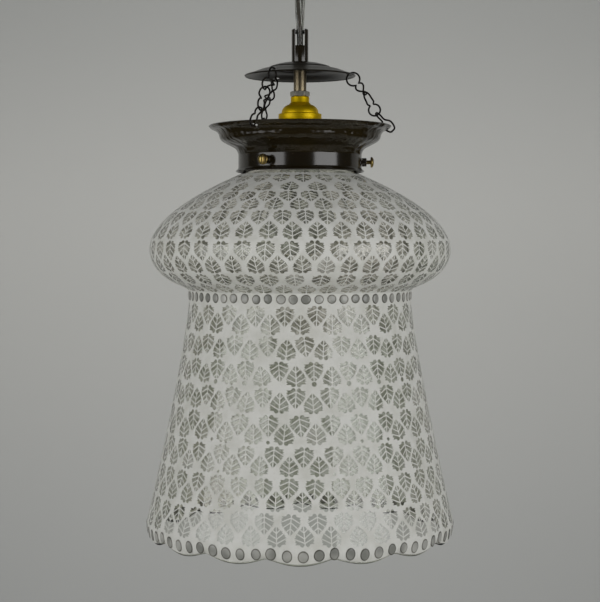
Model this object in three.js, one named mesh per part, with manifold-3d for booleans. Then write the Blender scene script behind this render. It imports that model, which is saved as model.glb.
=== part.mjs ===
// A pendant lamp for one bulb: a blown glass shade with a leaf-patterned body and a scalloped hem,
// clamped by three thumb screws in a bronze gallery that hangs on three short chains from a small
// dish. The dish and the brass lampholder sit on one threaded stem, below a cord loop, and the clear
// cord runs up to a cord grip in a ceiling cup. Millimetres, +Z up, origin on the ceiling face.
import * as THREE from "three";
import { mergeVertices } from "three/addons/utils/BufferGeometryUtils.js";
import Module from "manifold-3d";

const wasm = await Module();
wasm.setup();

// Clearances
const SEAT_GAP = 0.3; // between pieces that rest on or screw into each other
const LINK_GAP = 0.5; // between the wires of two linked rings
const SHEET = 1.1; // pressed bronze sheet

// Ceiling fitting
const BRACKET_LENGTH = 80;
const BRACKET_WIDTH = 18;
const BRACKET_SHEET = 2;
const BRACKET_EAR = 18; // how far its ends turn down
const BRACKET_SLOT_LENGTH = 12;
const BRACKET_SLOT_WIDTH = 4.5;
const BRACKET_SLOT_PITCH = 46;
const CUP_RADIUS = 46;
const CUP_DEPTH = 42;
const CUP_TOP_BAND = 14; // straight part below the ceiling
const CUP_SCREW_DROP = 9; // below the ceiling
const CUP_SCREW_RADIUS = 1.9;
const CUP_SCREW_HEAD = 3.6;
const BLOCK_SIZE = [26, 16, 12];
const BLOCK_HOLE = 1.6;
const BLOCK_PITCH = 12;
const GRIP_RADIUS = 8;
const GRIP_LENGTH = 15; // below the cup
const GRIP_THREAD_RADIUS = 6.4;
const GRIP_THREAD_LENGTH = 12; // above the cup's sheet
const GRIP_BORE = 5;
const GRIP_NUT_FLATS = 17;
const GRIP_NUT_HEIGHT = 4;

// Cord, a flat twin cord that turns a quarter on its way down
const CORD_WIDTH = 9;
const CORD_THICKNESS = 5.2;
const CORD_FREE = 40; // from the grip's mouth to the loop's top
const CORD_SIDES = 10;
const CORD_STEP = 5;
const CORE_RADIUS = 1.2;
const CORE_PITCH = 3.2;

// Cord loop and stem
const LOOP_RADIUS = 7.05;
const LOOP_HEIGHT = 28;
const LOOP_BAR = 3.3; // above its window
const LOOP_WINDOW = 10.9;
const LOOP_WINDOW_WIDTH = 7.8;
const LOOP_BORE = 5;
const LOOP_THREAD_DEPTH = 10;
const STEM_RADIUS = 5.45;
const STEM_BORE = 4;
const STEM_BELOW_NUT = 9; // how far it reaches into the lampholder
const NUT_FLATS = 14.5;
const NUT_HEIGHT = 4.3;
const NUT_DROP = 24.5; // from the dish's crown to the nut's top

// Chain dish, an inverted saucer
const DISH_RADIUS = 47.8;
const DISH_RISE = 11.2;
const DISH_STEP_RADIUS = 25.2;
const DISH_STEP = 1.1;
const DISH_HOLE_RADIUS = DISH_RADIUS - 6.2; // where the chain rings pass
const DISH_HOLE_RISE = 2; // of the sheet's top there, above the rim
const DISH_HOLE = 2.3;

// Lampholder
const COLLAR_RADIUS = 7.85;
const COLLAR_HEIGHT = 5.1;
const CAP_DOME_RADIUS = 15.7;
const CAP_DOME_HEIGHT = 9;
const CAP_RING_RADIUS = 18.3;
const CAP_RING_HEIGHT = 7;
const CAP_SHEET = 1.1;
const SKIRT_RADIUS = 16.8;
const SKIRT_BORE = 14;
const SKIRT_LENGTH = 34;
const SKIRT_OVERLAP = 3; // inside the cap's ring
const INSERT_FLANGE = 1.9;
const INSERT_BODY = 5;
const SHADE_RING_RADIUS = 21;
const SHADE_RING_HEIGHT = 7;
const SHADE_RING_DROP = 11; // below the skirt's top

// Bulb
const BULB_CAP_RADIUS = 13.2;
const BULB_CAP_LENGTH = 24;
const BULB_RADIUS = 30;
const BULB_LENGTH = 88; // its glass
const BULB_NECK_RADIUS = 13.4;
const BULB_WALL = 1.2;

// Gallery
const RIM_RADIUS = 77.6;
const RIM_BELOW_CROWN = 54.4; // the rim's edge under the dish's crown
const BAND_RADIUS = 52.4;
const GALLERY_HEIGHT = 37.9;
const GALLERY_FOOT = 2.3; // how far the foot turns out
const RIM_HOLE_RADIUS = RIM_RADIUS - 4.9;
const RIM_HOLE = 2.1;
const SCREW_DROP = 30.3; // screw axis below the rim's edge
const SCREW_RADIUS = 1.8;
const SCREW_CLEARANCE = 0.35;
const SCREW_HEAD_RADIUS = 4.55;
const SCREW_HEAD = 2.9;
const SCREW_SLOT = 1;
const SCREW_HEAD_STANDS = 3.4; // between the boss and the head
const BOSS_RADIUS = 3.6;
const BOSS_HEIGHT = 3.8;

// Glass shade
const GLASS_WALL = 3;
const NECK_RADIUS = 47;
const NECK_LIP = 2.2; // how far the neck's lip stands out
const NECK_LIP_HEIGHT = 5;
const NECK_ABOVE_FOOT = 16.6;
const BULGE_RADIUS = 127.5;
const BULGE_ABOVE = 62.7; // from the widest line up to the shoulder
const BULGE_PEAK = 83.2; // where its curve would meet the axis
const BULGE_POWER = 1.935;
const BULGE_BELOW_FOOT = 66.5; // the widest line under the gallery's foot
const TURN_REACH = 50; // the tighter curve below the widest line
const TURN_DEPTH = 34.5;
const WAIST_RADIUS = 94.1;
const WAIST_HEIGHT = 7;
const BODY_HEIGHT = 177; // from the waist to the hem
const BODY_FLARE = 33.4;
const BODY_POWER = 1.22;
const HEM_RADIUS = 130.3;
const HEM_DROP = 11.5; // from the hem's top to its widest line
const HEM_TURN = 10;
const HEM_BEND = 16;
const SCALLOPS = 15;
const GLASS_SIDES = 3 * SCALLOPS;
const SCALLOP_DEPTH = 5.3;

// Chains
const CHAINS = [
  ["right", 0],
  ["back", 120],
  ["front", -120],
];
const WIRE = 1.4;
const LINK_WAIST = 1.8; // between the wires where a link narrows between its two loops
const TOP_LINK_SLOPE = 50; // degrees below level
const TOP_LINK_LENGTH = 22.4;
const TOP_LINK_ROUND = 10.6; // across its round loop, the one through the dish
const TOP_LINK_WIDTH = 9.8; // across its other loop
const TOP_LINK_TWIST = 140; // degrees that its far end is turned against the round loop
const MIDDLE_LINK_WIDTH = 8.4;
const MIDDLE_LINK_TWIST = 57;
const MIDDLE_LINK_ROUND = 9.8;
const HOOK_SLOPE = 46;
const HOOK_REACH = 15.9; // from its top to the middle of its loop
const HOOK_EYE_WIDTH = 5.4;
const HOOK_LOOP_WIDTH = 8.6;
const HOOK_LOOP_END = 4.6; // from the middle of its loop to its end
const HOOK_BLUNTNESS = 0.5; // 1 is an ellipse, less has blunter ends
const HOOK_TURN = 63; // degrees that its eye is turned against its loop

const RAD = Math.PI / 180;

// Finishes
const finish = (color, roughness, metalness) => () =>
  new THREE.MeshStandardMaterial({ color, roughness, metalness });
const bronze = finish(0x2b2119, 0.35, 0.9);
const darkWire = finish(0x17130f, 0.5, 0.8);
const brass = finish(0xb8962a, 0.3, 1);
const nickel = finish(0x8d8478, 0.3, 1);
const steel = finish(0xa9a9a6, 0.4, 1);
const glass = () =>
  new THREE.MeshStandardMaterial({
    color: 0xc9cac2,
    roughness: 0.25,
    metalness: 0,
    transparent: true,
    opacity: 0.75,
  });
const porcelain = finish(0xe9e6dc, 0.35, 0);
const plastic = finish(0xd8d6cf, 0.5, 0);
const cordSheath = finish(0x9a9c98, 0.2, 0);

// Geometry helpers

// The manifold solid of a closed geometry.
function solidOf(geometry) {
  const bare = geometry.index ? geometry.toNonIndexed() : geometry.clone();
  bare.deleteAttribute("normal");
  bare.deleteAttribute("uv");
  const merged = mergeVertices(bare, 1e-4);
  return new wasm.Manifold(
    new wasm.Mesh({
      numProp: 3,
      vertProperties: merged.attributes.position.array,
      triVerts: new Uint32Array(merged.index.array),
    }),
  );
}

function geometryOf(solid) {
  const { vertProperties, triVerts } = solid.getMesh();
  const made = new THREE.BufferGeometry();
  made.setAttribute("position", new THREE.BufferAttribute(vertProperties, 3));
  made.setIndex(new THREE.BufferAttribute(triVerts, 1));
  made.computeVertexNormals();
  return made;
}

function cut(geometry, ...tools) {
  return geometryOf(
    tools.reduce((left, tool) => left.subtract(solidOf(tool)), solidOf(geometry)),
  );
}

function join(geometry, ...others) {
  return geometryOf(
    others.reduce((sum, other) => sum.add(solidOf(other)), solidOf(geometry)),
  );
}

// A closed outline of [radius, height] points turned about the Z axis.
function turned(outline, sides = 32) {
  const points = outline.map(([r, z]) => new THREE.Vector2(r, z));
  if (THREE.ShapeUtils.area(points) < 0) points.reverse();
  points.push(points[0].clone());
  return new THREE.LatheGeometry(points, sides).rotateX(Math.PI / 2);
}

// A line of a wall's outside, moved inwards by the wall.
function inwards(line, wall) {
  return line.map(([r, z], i) => {
    const [r0, z0] = line[Math.max(i - 1, 0)];
    const [r1, z1] = line[Math.min(i + 1, line.length - 1)];
    const length = Math.hypot(r1 - r0, z1 - z0);
    return [r + (wall * (z1 - z0)) / length, z - (wall * (r1 - r0)) / length];
  });
}

// The outline of a pressed wall: its outer line and its inner line.
function walled(line, wall) {
  return [...line, ...inwards(line, wall).reverse()];
}

// Points of an ellipse's arc in the [radius, height] plane, from one angle in degrees to another.
function arc(r, z, reachR, reachZ, from, to, steps) {
  return Array.from({ length: steps + 1 }, (_, i) => {
    const a = (from + ((to - from) * i) / steps) * RAD;
    return [r + reachR * Math.cos(a), z + reachZ * Math.sin(a)];
  });
}

// A smooth line through a few [radius, height] points.
function smooth(points, steps) {
  const curve = new THREE.SplineCurve(points.map(([r, z]) => new THREE.Vector2(r, z)));
  return curve.getPoints(steps).map((p) => [p.x, p.y]);
}

// A rod along Z between two heights.
function rod(radius, low, high, sides = 24) {
  return new THREE.CylinderGeometry(radius, radius, high - low, sides)
    .rotateX(Math.PI / 2)
    .translate(0, 0, (low + high) / 2);
}

// A rod along X between two distances, at one height.
function sideRod(radius, from, to, z = 0, sides = 16) {
  return new THREE.CylinderGeometry(radius, radius, to - from, sides)
    .rotateZ(-Math.PI / 2)
    .translate((from + to) / 2, 0, z);
}

function box(width, depth, low, high, x = 0, y = 0) {
  return new THREE.BoxGeometry(width, depth, high - low).translate(x, y, (low + high) / 2);
}

// A hexagon nut with a bore, one flat towards the front.
function nut(flats, bore, low, high) {
  const corner = flats / Math.sqrt(3);
  const body = new THREE.CylinderGeometry(corner, corner, high - low, 6)
    .rotateX(Math.PI / 2)
    .rotateZ(30 * RAD)
    .translate(0, 0, (low + high) / 2);
  return cut(body, rod(bore, low - 1, high + 1));
}

const lamp = new THREE.Group();

function place(name, geometry, material, parent = lamp) {
  const mesh = new THREE.Mesh(geometry, material());
  mesh.name = name;
  parent.add(mesh);
  return mesh;
}

// Heights, stacked down from the ceiling
const cupBottom = -CUP_DEPTH;
const gripMouth = cupBottom - GRIP_LENGTH;
const loopTop = gripMouth - CORD_FREE;
const loopBottom = loopTop - LOOP_HEIGHT;
const windowTop = loopTop - LOOP_BAR;
const windowBottom = windowTop - LOOP_WINDOW;
const stemTop = loopBottom + LOOP_THREAD_DEPTH;
const crown = loopBottom - SEAT_GAP;
const dishRim = crown - DISH_RISE;
const nutTop = crown - NUT_DROP;
const nutBottom = nutTop - NUT_HEIGHT;
const collarTop = nutBottom - SEAT_GAP;
const domeTop = collarTop - COLLAR_HEIGHT;
const domeBottom = domeTop - CAP_DOME_HEIGHT;
const capBottom = domeBottom - CAP_RING_HEIGHT;
const stemBottom = nutBottom - STEM_BELOW_NUT;
const skirtTop = capBottom + SKIRT_OVERLAP;
const insertBottom = skirtTop - INSERT_BODY;
const bulbCapTop = insertBottom - SEAT_GAP;
const bulbCapBottom = bulbCapTop - BULB_CAP_LENGTH;
const rim = crown - RIM_BELOW_CROWN;
const foot = rim - GALLERY_HEIGHT;
const screwHeight = rim - SCREW_DROP;
const neckTop = foot + NECK_ABOVE_FOOT;
const widest = foot - BULGE_BELOW_FOOT;
const threadBore = STEM_RADIUS + SEAT_GAP;

// Ceiling bracket: a strip with turned-down ears and two slots for the ceiling screws
function ceilingBracket() {
  const half = BRACKET_LENGTH / 2;
  const strip = new THREE.Shape([
    new THREE.Vector2(-half, -BRACKET_EAR),
    new THREE.Vector2(-half + BRACKET_SHEET, -BRACKET_EAR),
    new THREE.Vector2(-half + BRACKET_SHEET, -BRACKET_SHEET),
    new THREE.Vector2(half - BRACKET_SHEET, -BRACKET_SHEET),
    new THREE.Vector2(half - BRACKET_SHEET, -BRACKET_EAR),
    new THREE.Vector2(half, -BRACKET_EAR),
    new THREE.Vector2(half, 0),
    new THREE.Vector2(-half, 0),
  ]);
  const body = new THREE.ExtrudeGeometry(strip, { depth: BRACKET_WIDTH, bevelEnabled: false })
    .rotateX(Math.PI / 2)
    .translate(0, BRACKET_WIDTH / 2, 0);
  const slots = [-1, 1].map((side) =>
    box(
      BRACKET_SLOT_LENGTH,
      BRACKET_SLOT_WIDTH,
      -BRACKET_SHEET - 1,
      1,
      (side * BRACKET_SLOT_PITCH) / 2,
    ),
  );
  const taps = sideRod(
    CUP_SCREW_RADIUS + SEAT_GAP,
    -half - 1,
    half + 1,
    -CUP_SCREW_DROP,
  );
  return cut(body, ...slots, taps);
}

// Ceiling cup: a straight band, then a dome down to a flat with the grip's hole
function ceilingCup() {
  const flat = GRIP_RADIUS + 1.5;
  const dome = arc(
    flat,
    -CUP_TOP_BAND,
    CUP_RADIUS - flat,
    CUP_DEPTH - CUP_TOP_BAND,
    0,
    -90,
    6,
  );
  const line = [
    [CUP_RADIUS, -SEAT_GAP],
    ...dome,
    [GRIP_THREAD_RADIUS + SEAT_GAP, cupBottom],
  ];
  const across = sideRod(
    CUP_SCREW_RADIUS + SEAT_GAP,
    -CUP_RADIUS - 2,
    CUP_RADIUS + 2,
    -CUP_SCREW_DROP,
  );
  return cut(turned(walled(line, SHEET), 28), across);
}

// Side screw that holds the cup to the bracket's ear
function cupScrew() {
  const shank = sideRod(
    CUP_SCREW_RADIUS,
    BRACKET_LENGTH / 2 - BRACKET_SHEET - 3,
    CUP_RADIUS + 1,
    -CUP_SCREW_DROP,
    10,
  );
  const head = sideRod(
    CUP_SCREW_HEAD,
    CUP_RADIUS + SEAT_GAP,
    CUP_RADIUS + SEAT_GAP + 1.8,
    -CUP_SCREW_DROP,
    12,
  );
  return join(shank, head);
}

// Cord grip: a turned sleeve with a shoulder under the cup and a thread through it
function cordGrip() {
  const shoulder = cupBottom - SEAT_GAP;
  const top = cupBottom + SHEET + GRIP_THREAD_LENGTH;
  return turned([
    [GRIP_BORE, top],
    [GRIP_THREAD_RADIUS, top],
    [GRIP_THREAD_RADIUS, shoulder],
    [GRIP_RADIUS, shoulder],
    [GRIP_RADIUS, gripMouth + 4],
    [GRIP_RADIUS - 1.6, gripMouth],
    [GRIP_BORE + 0.6, gripMouth],
    [GRIP_BORE, gripMouth + 2],
  ], 24);
}

// Terminal block with its two wire holes
function terminalBlock() {
  const [width, depth, height] = BLOCK_SIZE;
  const high = -BRACKET_SHEET - SEAT_GAP;
  const holes = [-1, 1].map((side) =>
    rod(BLOCK_HOLE, high - height - 1, high + 1, 8).translate((side * BLOCK_PITCH) / 2, 0, 0),
  );
  return cut(box(width, depth, high - height, high), ...holes);
}

// A straight flat cord between two heights, turning from one angle to another, with a round top end
function flatCord(low, high, turnFrom, turnTo, topEnd) {
  const section = new THREE.Shape(
    new THREE.EllipseCurve(0, 0, CORD_WIDTH / 2, CORD_THICKNESS / 2)
      .getPoints(CORD_SIDES)
      .slice(0, -1),
  );
  const made = new THREE.ExtrudeGeometry(section, {
    depth: high - low,
    steps: Math.round((high - low) / CORD_STEP),
    bevelEnabled: false,
  }).translate(0, 0, low);
  const at = made.attributes.position;
  for (let i = 0; i < at.count; i++) {
    const z = at.getZ(i);
    const turn = THREE.MathUtils.lerp(
      turnFrom,
      turnTo,
      THREE.MathUtils.smoothstep(-z, -high + CORD_WIDTH, -low - CORD_STEP),
    );
    const into = Math.max(0, z - (high - topEnd)) / (topEnd || 1);
    const scale = Math.sqrt(Math.max(0.12, 1 - into * into));
    const [c, s] = [Math.cos(turn * RAD) * scale, Math.sin(turn * RAD) * scale];
    at.setXY(i, at.getX(i) * c - at.getY(i) * s, at.getX(i) * s + at.getY(i) * c);
  }
  return made;
}

// Cord loop: a turned sleeve with a window through it and a top bar that is open at the front
function cordLoop() {
  const body = turned([
    [LOOP_BORE, loopTop],
    [LOOP_RADIUS - 0.6, loopTop],
    [LOOP_RADIUS, loopTop - 0.6],
    [LOOP_RADIUS, loopBottom],
    [threadBore, loopBottom],
    [threadBore, stemTop + SEAT_GAP],
    [LOOP_BORE, stemTop + SEAT_GAP],
  ], 24);
  const window = box(LOOP_WINDOW_WIDTH, 4 * LOOP_RADIUS, windowBottom, windowTop);
  const slot = box(
    LOOP_WINDOW_WIDTH,
    2 * LOOP_RADIUS,
    windowTop - 1,
    loopTop + 1,
    0,
    -LOOP_RADIUS,
  );
  return cut(body, window, slot);
}

// Chain dish: a saucer with a pressed step round its crown, open below, with three chain holes
function chainDish() {
  const stepTop = crown - 3.4;
  const stepBottom = stepTop - DISH_STEP;
  const line = [
    [threadBore, crown],
    [DISH_STEP_RADIUS / 2, crown - 0.2],
    [DISH_STEP_RADIUS * 0.8, crown - 1.8],
    [DISH_STEP_RADIUS, stepTop],
    [DISH_STEP_RADIUS + 1, stepBottom],
    ...smooth(
      [
        [DISH_STEP_RADIUS + 5, stepBottom - 0.8],
        [DISH_HOLE_RADIUS - 7, dishRim + 4.7],
        [DISH_HOLE_RADIUS, dishRim + DISH_HOLE_RISE],
        [DISH_RADIUS - 1.2, dishRim + 0.7],
        [DISH_RADIUS, dishRim],
      ],
      5,
    ),
  ];
  const holes = CHAINS.map(([, turn]) =>
    rod(DISH_HOLE, dishRim - 2, crown, 10)
      .translate(DISH_HOLE_RADIUS, 0, 0)
      .rotateZ(turn * RAD),
  );
  return cut(turned(walled(line, SHEET), 30), ...holes);
}

// Lampholder cap: collar, bell and straight ring, pressed from brass
function holderCap() {
  const line = [
    [COLLAR_RADIUS, collarTop],
    [COLLAR_RADIUS, domeTop],
    ...arc(
      COLLAR_RADIUS + 0.2,
      domeBottom,
      CAP_DOME_RADIUS - COLLAR_RADIUS - 0.2,
      CAP_DOME_HEIGHT - 1.4,
      82,
      0,
      4,
    ),
    [CAP_RING_RADIUS - 0.6, domeBottom - 0.4],
    [CAP_RING_RADIUS, domeBottom - 1],
    [CAP_RING_RADIUS, capBottom],
  ];
  const bottom = CAP_RING_RADIUS - CAP_SHEET;
  const neck = domeTop - 2.4;
  return turned([
    [threadBore, collarTop],
    ...line,
    [bottom, capBottom],
    [bottom, domeBottom - 1.6],
    [CAP_DOME_RADIUS - CAP_SHEET, domeBottom - 0.9],
    [CAP_DOME_RADIUS - 2.6, domeBottom + 3.4],
    [COLLAR_RADIUS + 1.4, neck - 1],
    [threadBore, neck],
  ], 24);
}

// Porcelain insert: a flange clamped between cap and skirt, with two holes for the cores
function holderInsert() {
  const flange = skirtTop + SEAT_GAP;
  const body = turned([
    [0, flange + INSERT_FLANGE],
    [SKIRT_RADIUS - 0.4, flange + INSERT_FLANGE],
    [SKIRT_RADIUS - 0.4, flange],
    [SKIRT_BORE - SEAT_GAP, flange],
    [SKIRT_BORE - SEAT_GAP, insertBottom],
    [0, insertBottom],
  ], 24);
  const holes = [-1, 1].map((side) =>
    rod(CORE_RADIUS + SEAT_GAP, skirtTop - 1, flange + INSERT_FLANGE + 1, 10).translate(
      0,
      (side * CORE_PITCH) / 2,
      0,
    ),
  );
  return cut(body, ...holes);
}

// Lampholder skirt: a brass tube with a rolled mouth
function holderSkirt() {
  const mouth = skirtTop - SKIRT_LENGTH;
  return turned([
    [SKIRT_BORE, skirtTop],
    [SKIRT_RADIUS, skirtTop],
    [SKIRT_RADIUS, mouth + 2],
    ...arc(SKIRT_RADIUS, mouth + 1, 0.9, 1, 80, -80, 3),
    [SKIRT_BORE, mouth],
  ], 24);
}

// Ring nut that screws on the skirt, with a waisted grip
function shadeRing() {
  const high = skirtTop - SHADE_RING_DROP;
  const low = high - SHADE_RING_HEIGHT;
  const bore = SKIRT_RADIUS + SEAT_GAP;
  return turned([
    [bore, high],
    [SHADE_RING_RADIUS - 0.6, high],
    [SHADE_RING_RADIUS, high - 0.8],
    [SHADE_RING_RADIUS, high - 2],
    [SHADE_RING_RADIUS - 1.6, high - 3],
    [SHADE_RING_RADIUS - 1.6, low],
    [bore, low],
  ], 24);
}

// Bulb cap: a screw shell drawn as rounded threads, with its centre contact
function bulbCap() {
  const turns = 3;
  const pitch = (BULB_CAP_LENGTH - 6) / turns;
  const thread = Array.from({ length: turns }, (_, i) => {
    const z = bulbCapTop - 3 - i * pitch;
    return [
      [BULB_CAP_RADIUS - 1, z],
      [BULB_CAP_RADIUS, z - pitch * 0.35],
      [BULB_CAP_RADIUS, z - pitch * 0.6],
    ];
  }).flat();
  return turned(
    [
      [0, bulbCapTop],
      [4, bulbCapTop],
      [5, bulbCapTop - 1.2],
      [BULB_CAP_RADIUS - 2.5, bulbCapTop - 2.4],
      ...thread,
      [BULB_CAP_RADIUS - 1, bulbCapBottom + 2.5],
      [BULB_CAP_RADIUS - 1, bulbCapBottom],
      [0, bulbCapBottom],
    ],
    20,
  );
}

// Bulb glass: a thin neck and globe, open where the cap closes it
function bulbGlass() {
  const high = bulbCapBottom - SEAT_GAP;
  const middle = high - BULB_LENGTH + BULB_RADIUS;
  const side = (inset) => [
    [BULB_NECK_RADIUS - inset, high],
    [BULB_NECK_RADIUS + 0.4 - inset, high - 12],
    ...smooth(
      [
        [BULB_RADIUS - 10 - inset, (high + middle) / 2],
        [BULB_RADIUS - 2.2 - inset, middle + 10],
        [BULB_RADIUS - inset, middle],
      ],
      3,
    ),
    ...arc(0, middle, BULB_RADIUS - inset, BULB_RADIUS - inset, -18, -90, 4),
  ];
  return turned([...side(0), ...side(BULB_WALL).reverse()], 20);
}

// Gallery: a pressed ring with a flared lip, a cove down to the band and a turned-out foot
function gallery() {
  const line = [
    ...smooth(
      [
        [RIM_RADIUS, rim],
        [RIM_RADIUS - 2.2, rim - 2.2],
        [RIM_RADIUS - 6.2, rim - 4],
        [RIM_RADIUS - 8.6, rim - 6.8],
        [RIM_RADIUS - 9.6, rim - 10.4],
        [RIM_RADIUS - 12, rim - 13],
        [BAND_RADIUS + 8, rim - 15.8],
        [BAND_RADIUS + 2.4, rim - 19],
        [BAND_RADIUS, rim - 23.4],
      ],
      10,
    ),
    [BAND_RADIUS, foot + 3],
    [BAND_RADIUS + 1, foot + 1.4],
    [BAND_RADIUS + GALLERY_FOOT, foot],
  ];
  const holes = CHAINS.flatMap(([, turn]) => [
    rod(RIM_HOLE, rim - 8, rim + 2, 10)
      .translate(RIM_HOLE_RADIUS, 0, 0)
      .rotateZ(turn * RAD),
    sideRod(SCREW_RADIUS + SCREW_CLEARANCE, BAND_RADIUS - 4, BAND_RADIUS + 3, screwHeight, 10).rotateZ(
      turn * RAD,
    ),
  ]);
  return cut(turned(walled(line, SHEET), 33), ...holes);
}

// Threaded boss on the band, shaped to it
function screwBoss() {
  const body = sideRod(BOSS_RADIUS, BAND_RADIUS - 1, BAND_RADIUS + SEAT_GAP + BOSS_HEIGHT, screwHeight, 12);
  return cut(
    body,
    rod(BAND_RADIUS + SEAT_GAP, screwHeight - 6, screwHeight + 6, 96),
    sideRod(SCREW_RADIUS + SCREW_CLEARANCE, BAND_RADIUS - 4, BAND_RADIUS + 8, screwHeight, 10),
  );
}

// Thumb screw: shank, domed head and driver slot
function thumbScrew() {
  const tip = NECK_RADIUS + SEAT_GAP;
  const head = BAND_RADIUS + SEAT_GAP + BOSS_HEIGHT + SCREW_HEAD_STANDS;
  const outline = [
    [0, tip],
    [SCREW_RADIUS - 0.4, tip],
    [SCREW_RADIUS, tip + 0.6],
    [SCREW_RADIUS, head],
    [SCREW_HEAD_RADIUS, head + 0.2],
    [SCREW_HEAD_RADIUS, head + 1],
    ...arc(0, head + 1, SCREW_HEAD_RADIUS, SCREW_HEAD - 1, 30, 90, 2),
  ];
  const body = turned(outline, 12)
    .rotateY(Math.PI / 2)
    .translate(0, 0, screwHeight);
  const slot = box(
    2,
    SCREW_SLOT,
    screwHeight - SCREW_HEAD_RADIUS - 1,
    screwHeight + SCREW_HEAD_RADIUS + 1,
    head + SCREW_HEAD + 0.1,
  );
  return cut(body, slot);
}

// Glass shade: lipped neck, wide bulge, narrow waist, flared body and a rolled, scalloped hem
function glassShade() {
  const upper = Array.from({ length: 8 }, (_, i) => {
    const above = (BULGE_ABOVE * (7 - i)) / 7;
    return [BULGE_RADIUS * (1 - Math.pow(above / BULGE_PEAK, BULGE_POWER)), widest + above];
  });
  const lower = arc(BULGE_RADIUS - TURN_REACH, widest, TURN_REACH, TURN_DEPTH, -16, -65, 4);
  const waist = widest - TURN_DEPTH - 1;
  const body = Array.from({ length: 6 }, (_, i) => [
    WAIST_RADIUS + BODY_FLARE * Math.pow(i / 5, BODY_POWER),
    waist - WAIST_HEIGHT - BODY_HEIGHT * (i / 5),
  ]);
  const hemTop = body.at(-1)[1];
  const hem = arc(
    HEM_RADIUS - HEM_TURN,
    hemTop - HEM_DROP,
    HEM_TURN,
    HEM_BEND,
    30,
    -50,
    4,
  );
  const wall = [
    [NECK_RADIUS, foot + 2],
    [NECK_RADIUS + 2.4, foot - 1.5],
    ...upper,
    ...lower,
    [WAIST_RADIUS, waist],
    ...body,
    ...hem,
  ];
  const inner = inwards(wall, GLASS_WALL).filter((_, i) => i < 2 || i % 2 || i === wall.length - 1);
  const made = turned(
    [
      [NECK_RADIUS - GLASS_WALL, neckTop],
      [NECK_RADIUS + NECK_LIP - 0.8, neckTop],
      [NECK_RADIUS + NECK_LIP, neckTop - 1],
      [NECK_RADIUS + NECK_LIP, neckTop - NECK_LIP_HEIGHT + 1],
      [NECK_RADIUS, neckTop - NECK_LIP_HEIGHT],
      ...wall,
      ...inner.reverse(),
    ],
    GLASS_SIDES,
  ).rotateZ(Math.PI / GLASS_SIDES);
  // Notches rise between the scallops, and one scallop's middle faces the front
  const lip = hem.at(-1)[1];
  const scallopTop = hem[1][1];
  const at = made.attributes.position;
  for (let i = 0; i < at.count; i++) {
    const share = (scallopTop - at.getZ(i)) / (scallopTop - lip);
    if (share <= 0) continue;
    const turn = Math.atan2(at.getX(i), -at.getY(i));
    const raised = 1 - Math.abs(Math.cos((turn * SCALLOPS) / 2));
    at.setZ(i, at.getZ(i) + SCALLOP_DEPTH * raised * share);
  }
  return made;
}

// The centre line of a bent wire link, from its near end along one way and across it.
class LinkLine extends THREE.Curve {
  constructor({ start, along, across, length, width, bluntness }) {
    super();
    Object.assign(this, { start, along, across, length, width, bluntness });
  }
  getPoint(u, target = new THREE.Vector3()) {
    const turn = 2 * Math.PI * u;
    const way = (1 - Math.cos(turn)) / 2;
    const side = Math.sign(Math.sin(turn)) * Math.pow(Math.abs(Math.sin(turn)), this.bluntness);
    return target
      .copy(this.start)
      .addScaledVector(this.along, this.length * way)
      .addScaledVector(this.across(way), (side * this.width(way)) / 2);
  }
  // Steps stay short where the hook's wire bends round its blunt ends
  getUtoTmapping(u, distance) {
    return this.bluntness < 1 ? u : super.getUtoTmapping(u, distance);
  }
}

function wireLink(line, steps) {
  return new THREE.TubeGeometry(line, steps, WIRE / 2, 6, true);
}

// A direction in a chain's own upright plane, so many degrees below level.
function sloping(degrees) {
  return new THREE.Vector3(Math.cos(degrees * RAD), 0, -Math.sin(degrees * RAD));
}

// The direction across a link, turned on the link's own line from the chain's upright plane.
function acrossAt(along, degrees) {
  const upright = new THREE.Vector3(-along.z, 0, along.x);
  return upright.multiplyScalar(Math.cos(degrees * RAD)).add(
    new THREE.Vector3(0, Math.sin(degrees * RAD), 0),
  );
}

// A wire bent into two loops, each as long as given, with a narrow waist between them. The loops
// are as wide as given, and the link is twisted on its own line.
function eightLink({ start, along, near, nearWidth, far, farWidth, turnAt }) {
  const length = near + far;
  const line = new LinkLine({
    start,
    along,
    length,
    across: (way) => acrossAt(along, turnAt(way)),
    width: (way) => {
      const left = 1 - way;
      const nearRoom = Math.max(0, near - way * length) / Math.max(left, 0.01);
      const farRoom = Math.max(0, far - left * length) / Math.max(way, 0.01);
      const nearLoop = (nearWidth / near) * Math.sqrt(length * nearRoom);
      const farLoop = (farWidth / far) * Math.sqrt(length * farRoom);
      return Math.hypot(nearLoop, farLoop, LINK_WAIST);
    },
    bluntness: 1,
  });
  return wireLink(line, 30);
}

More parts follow.
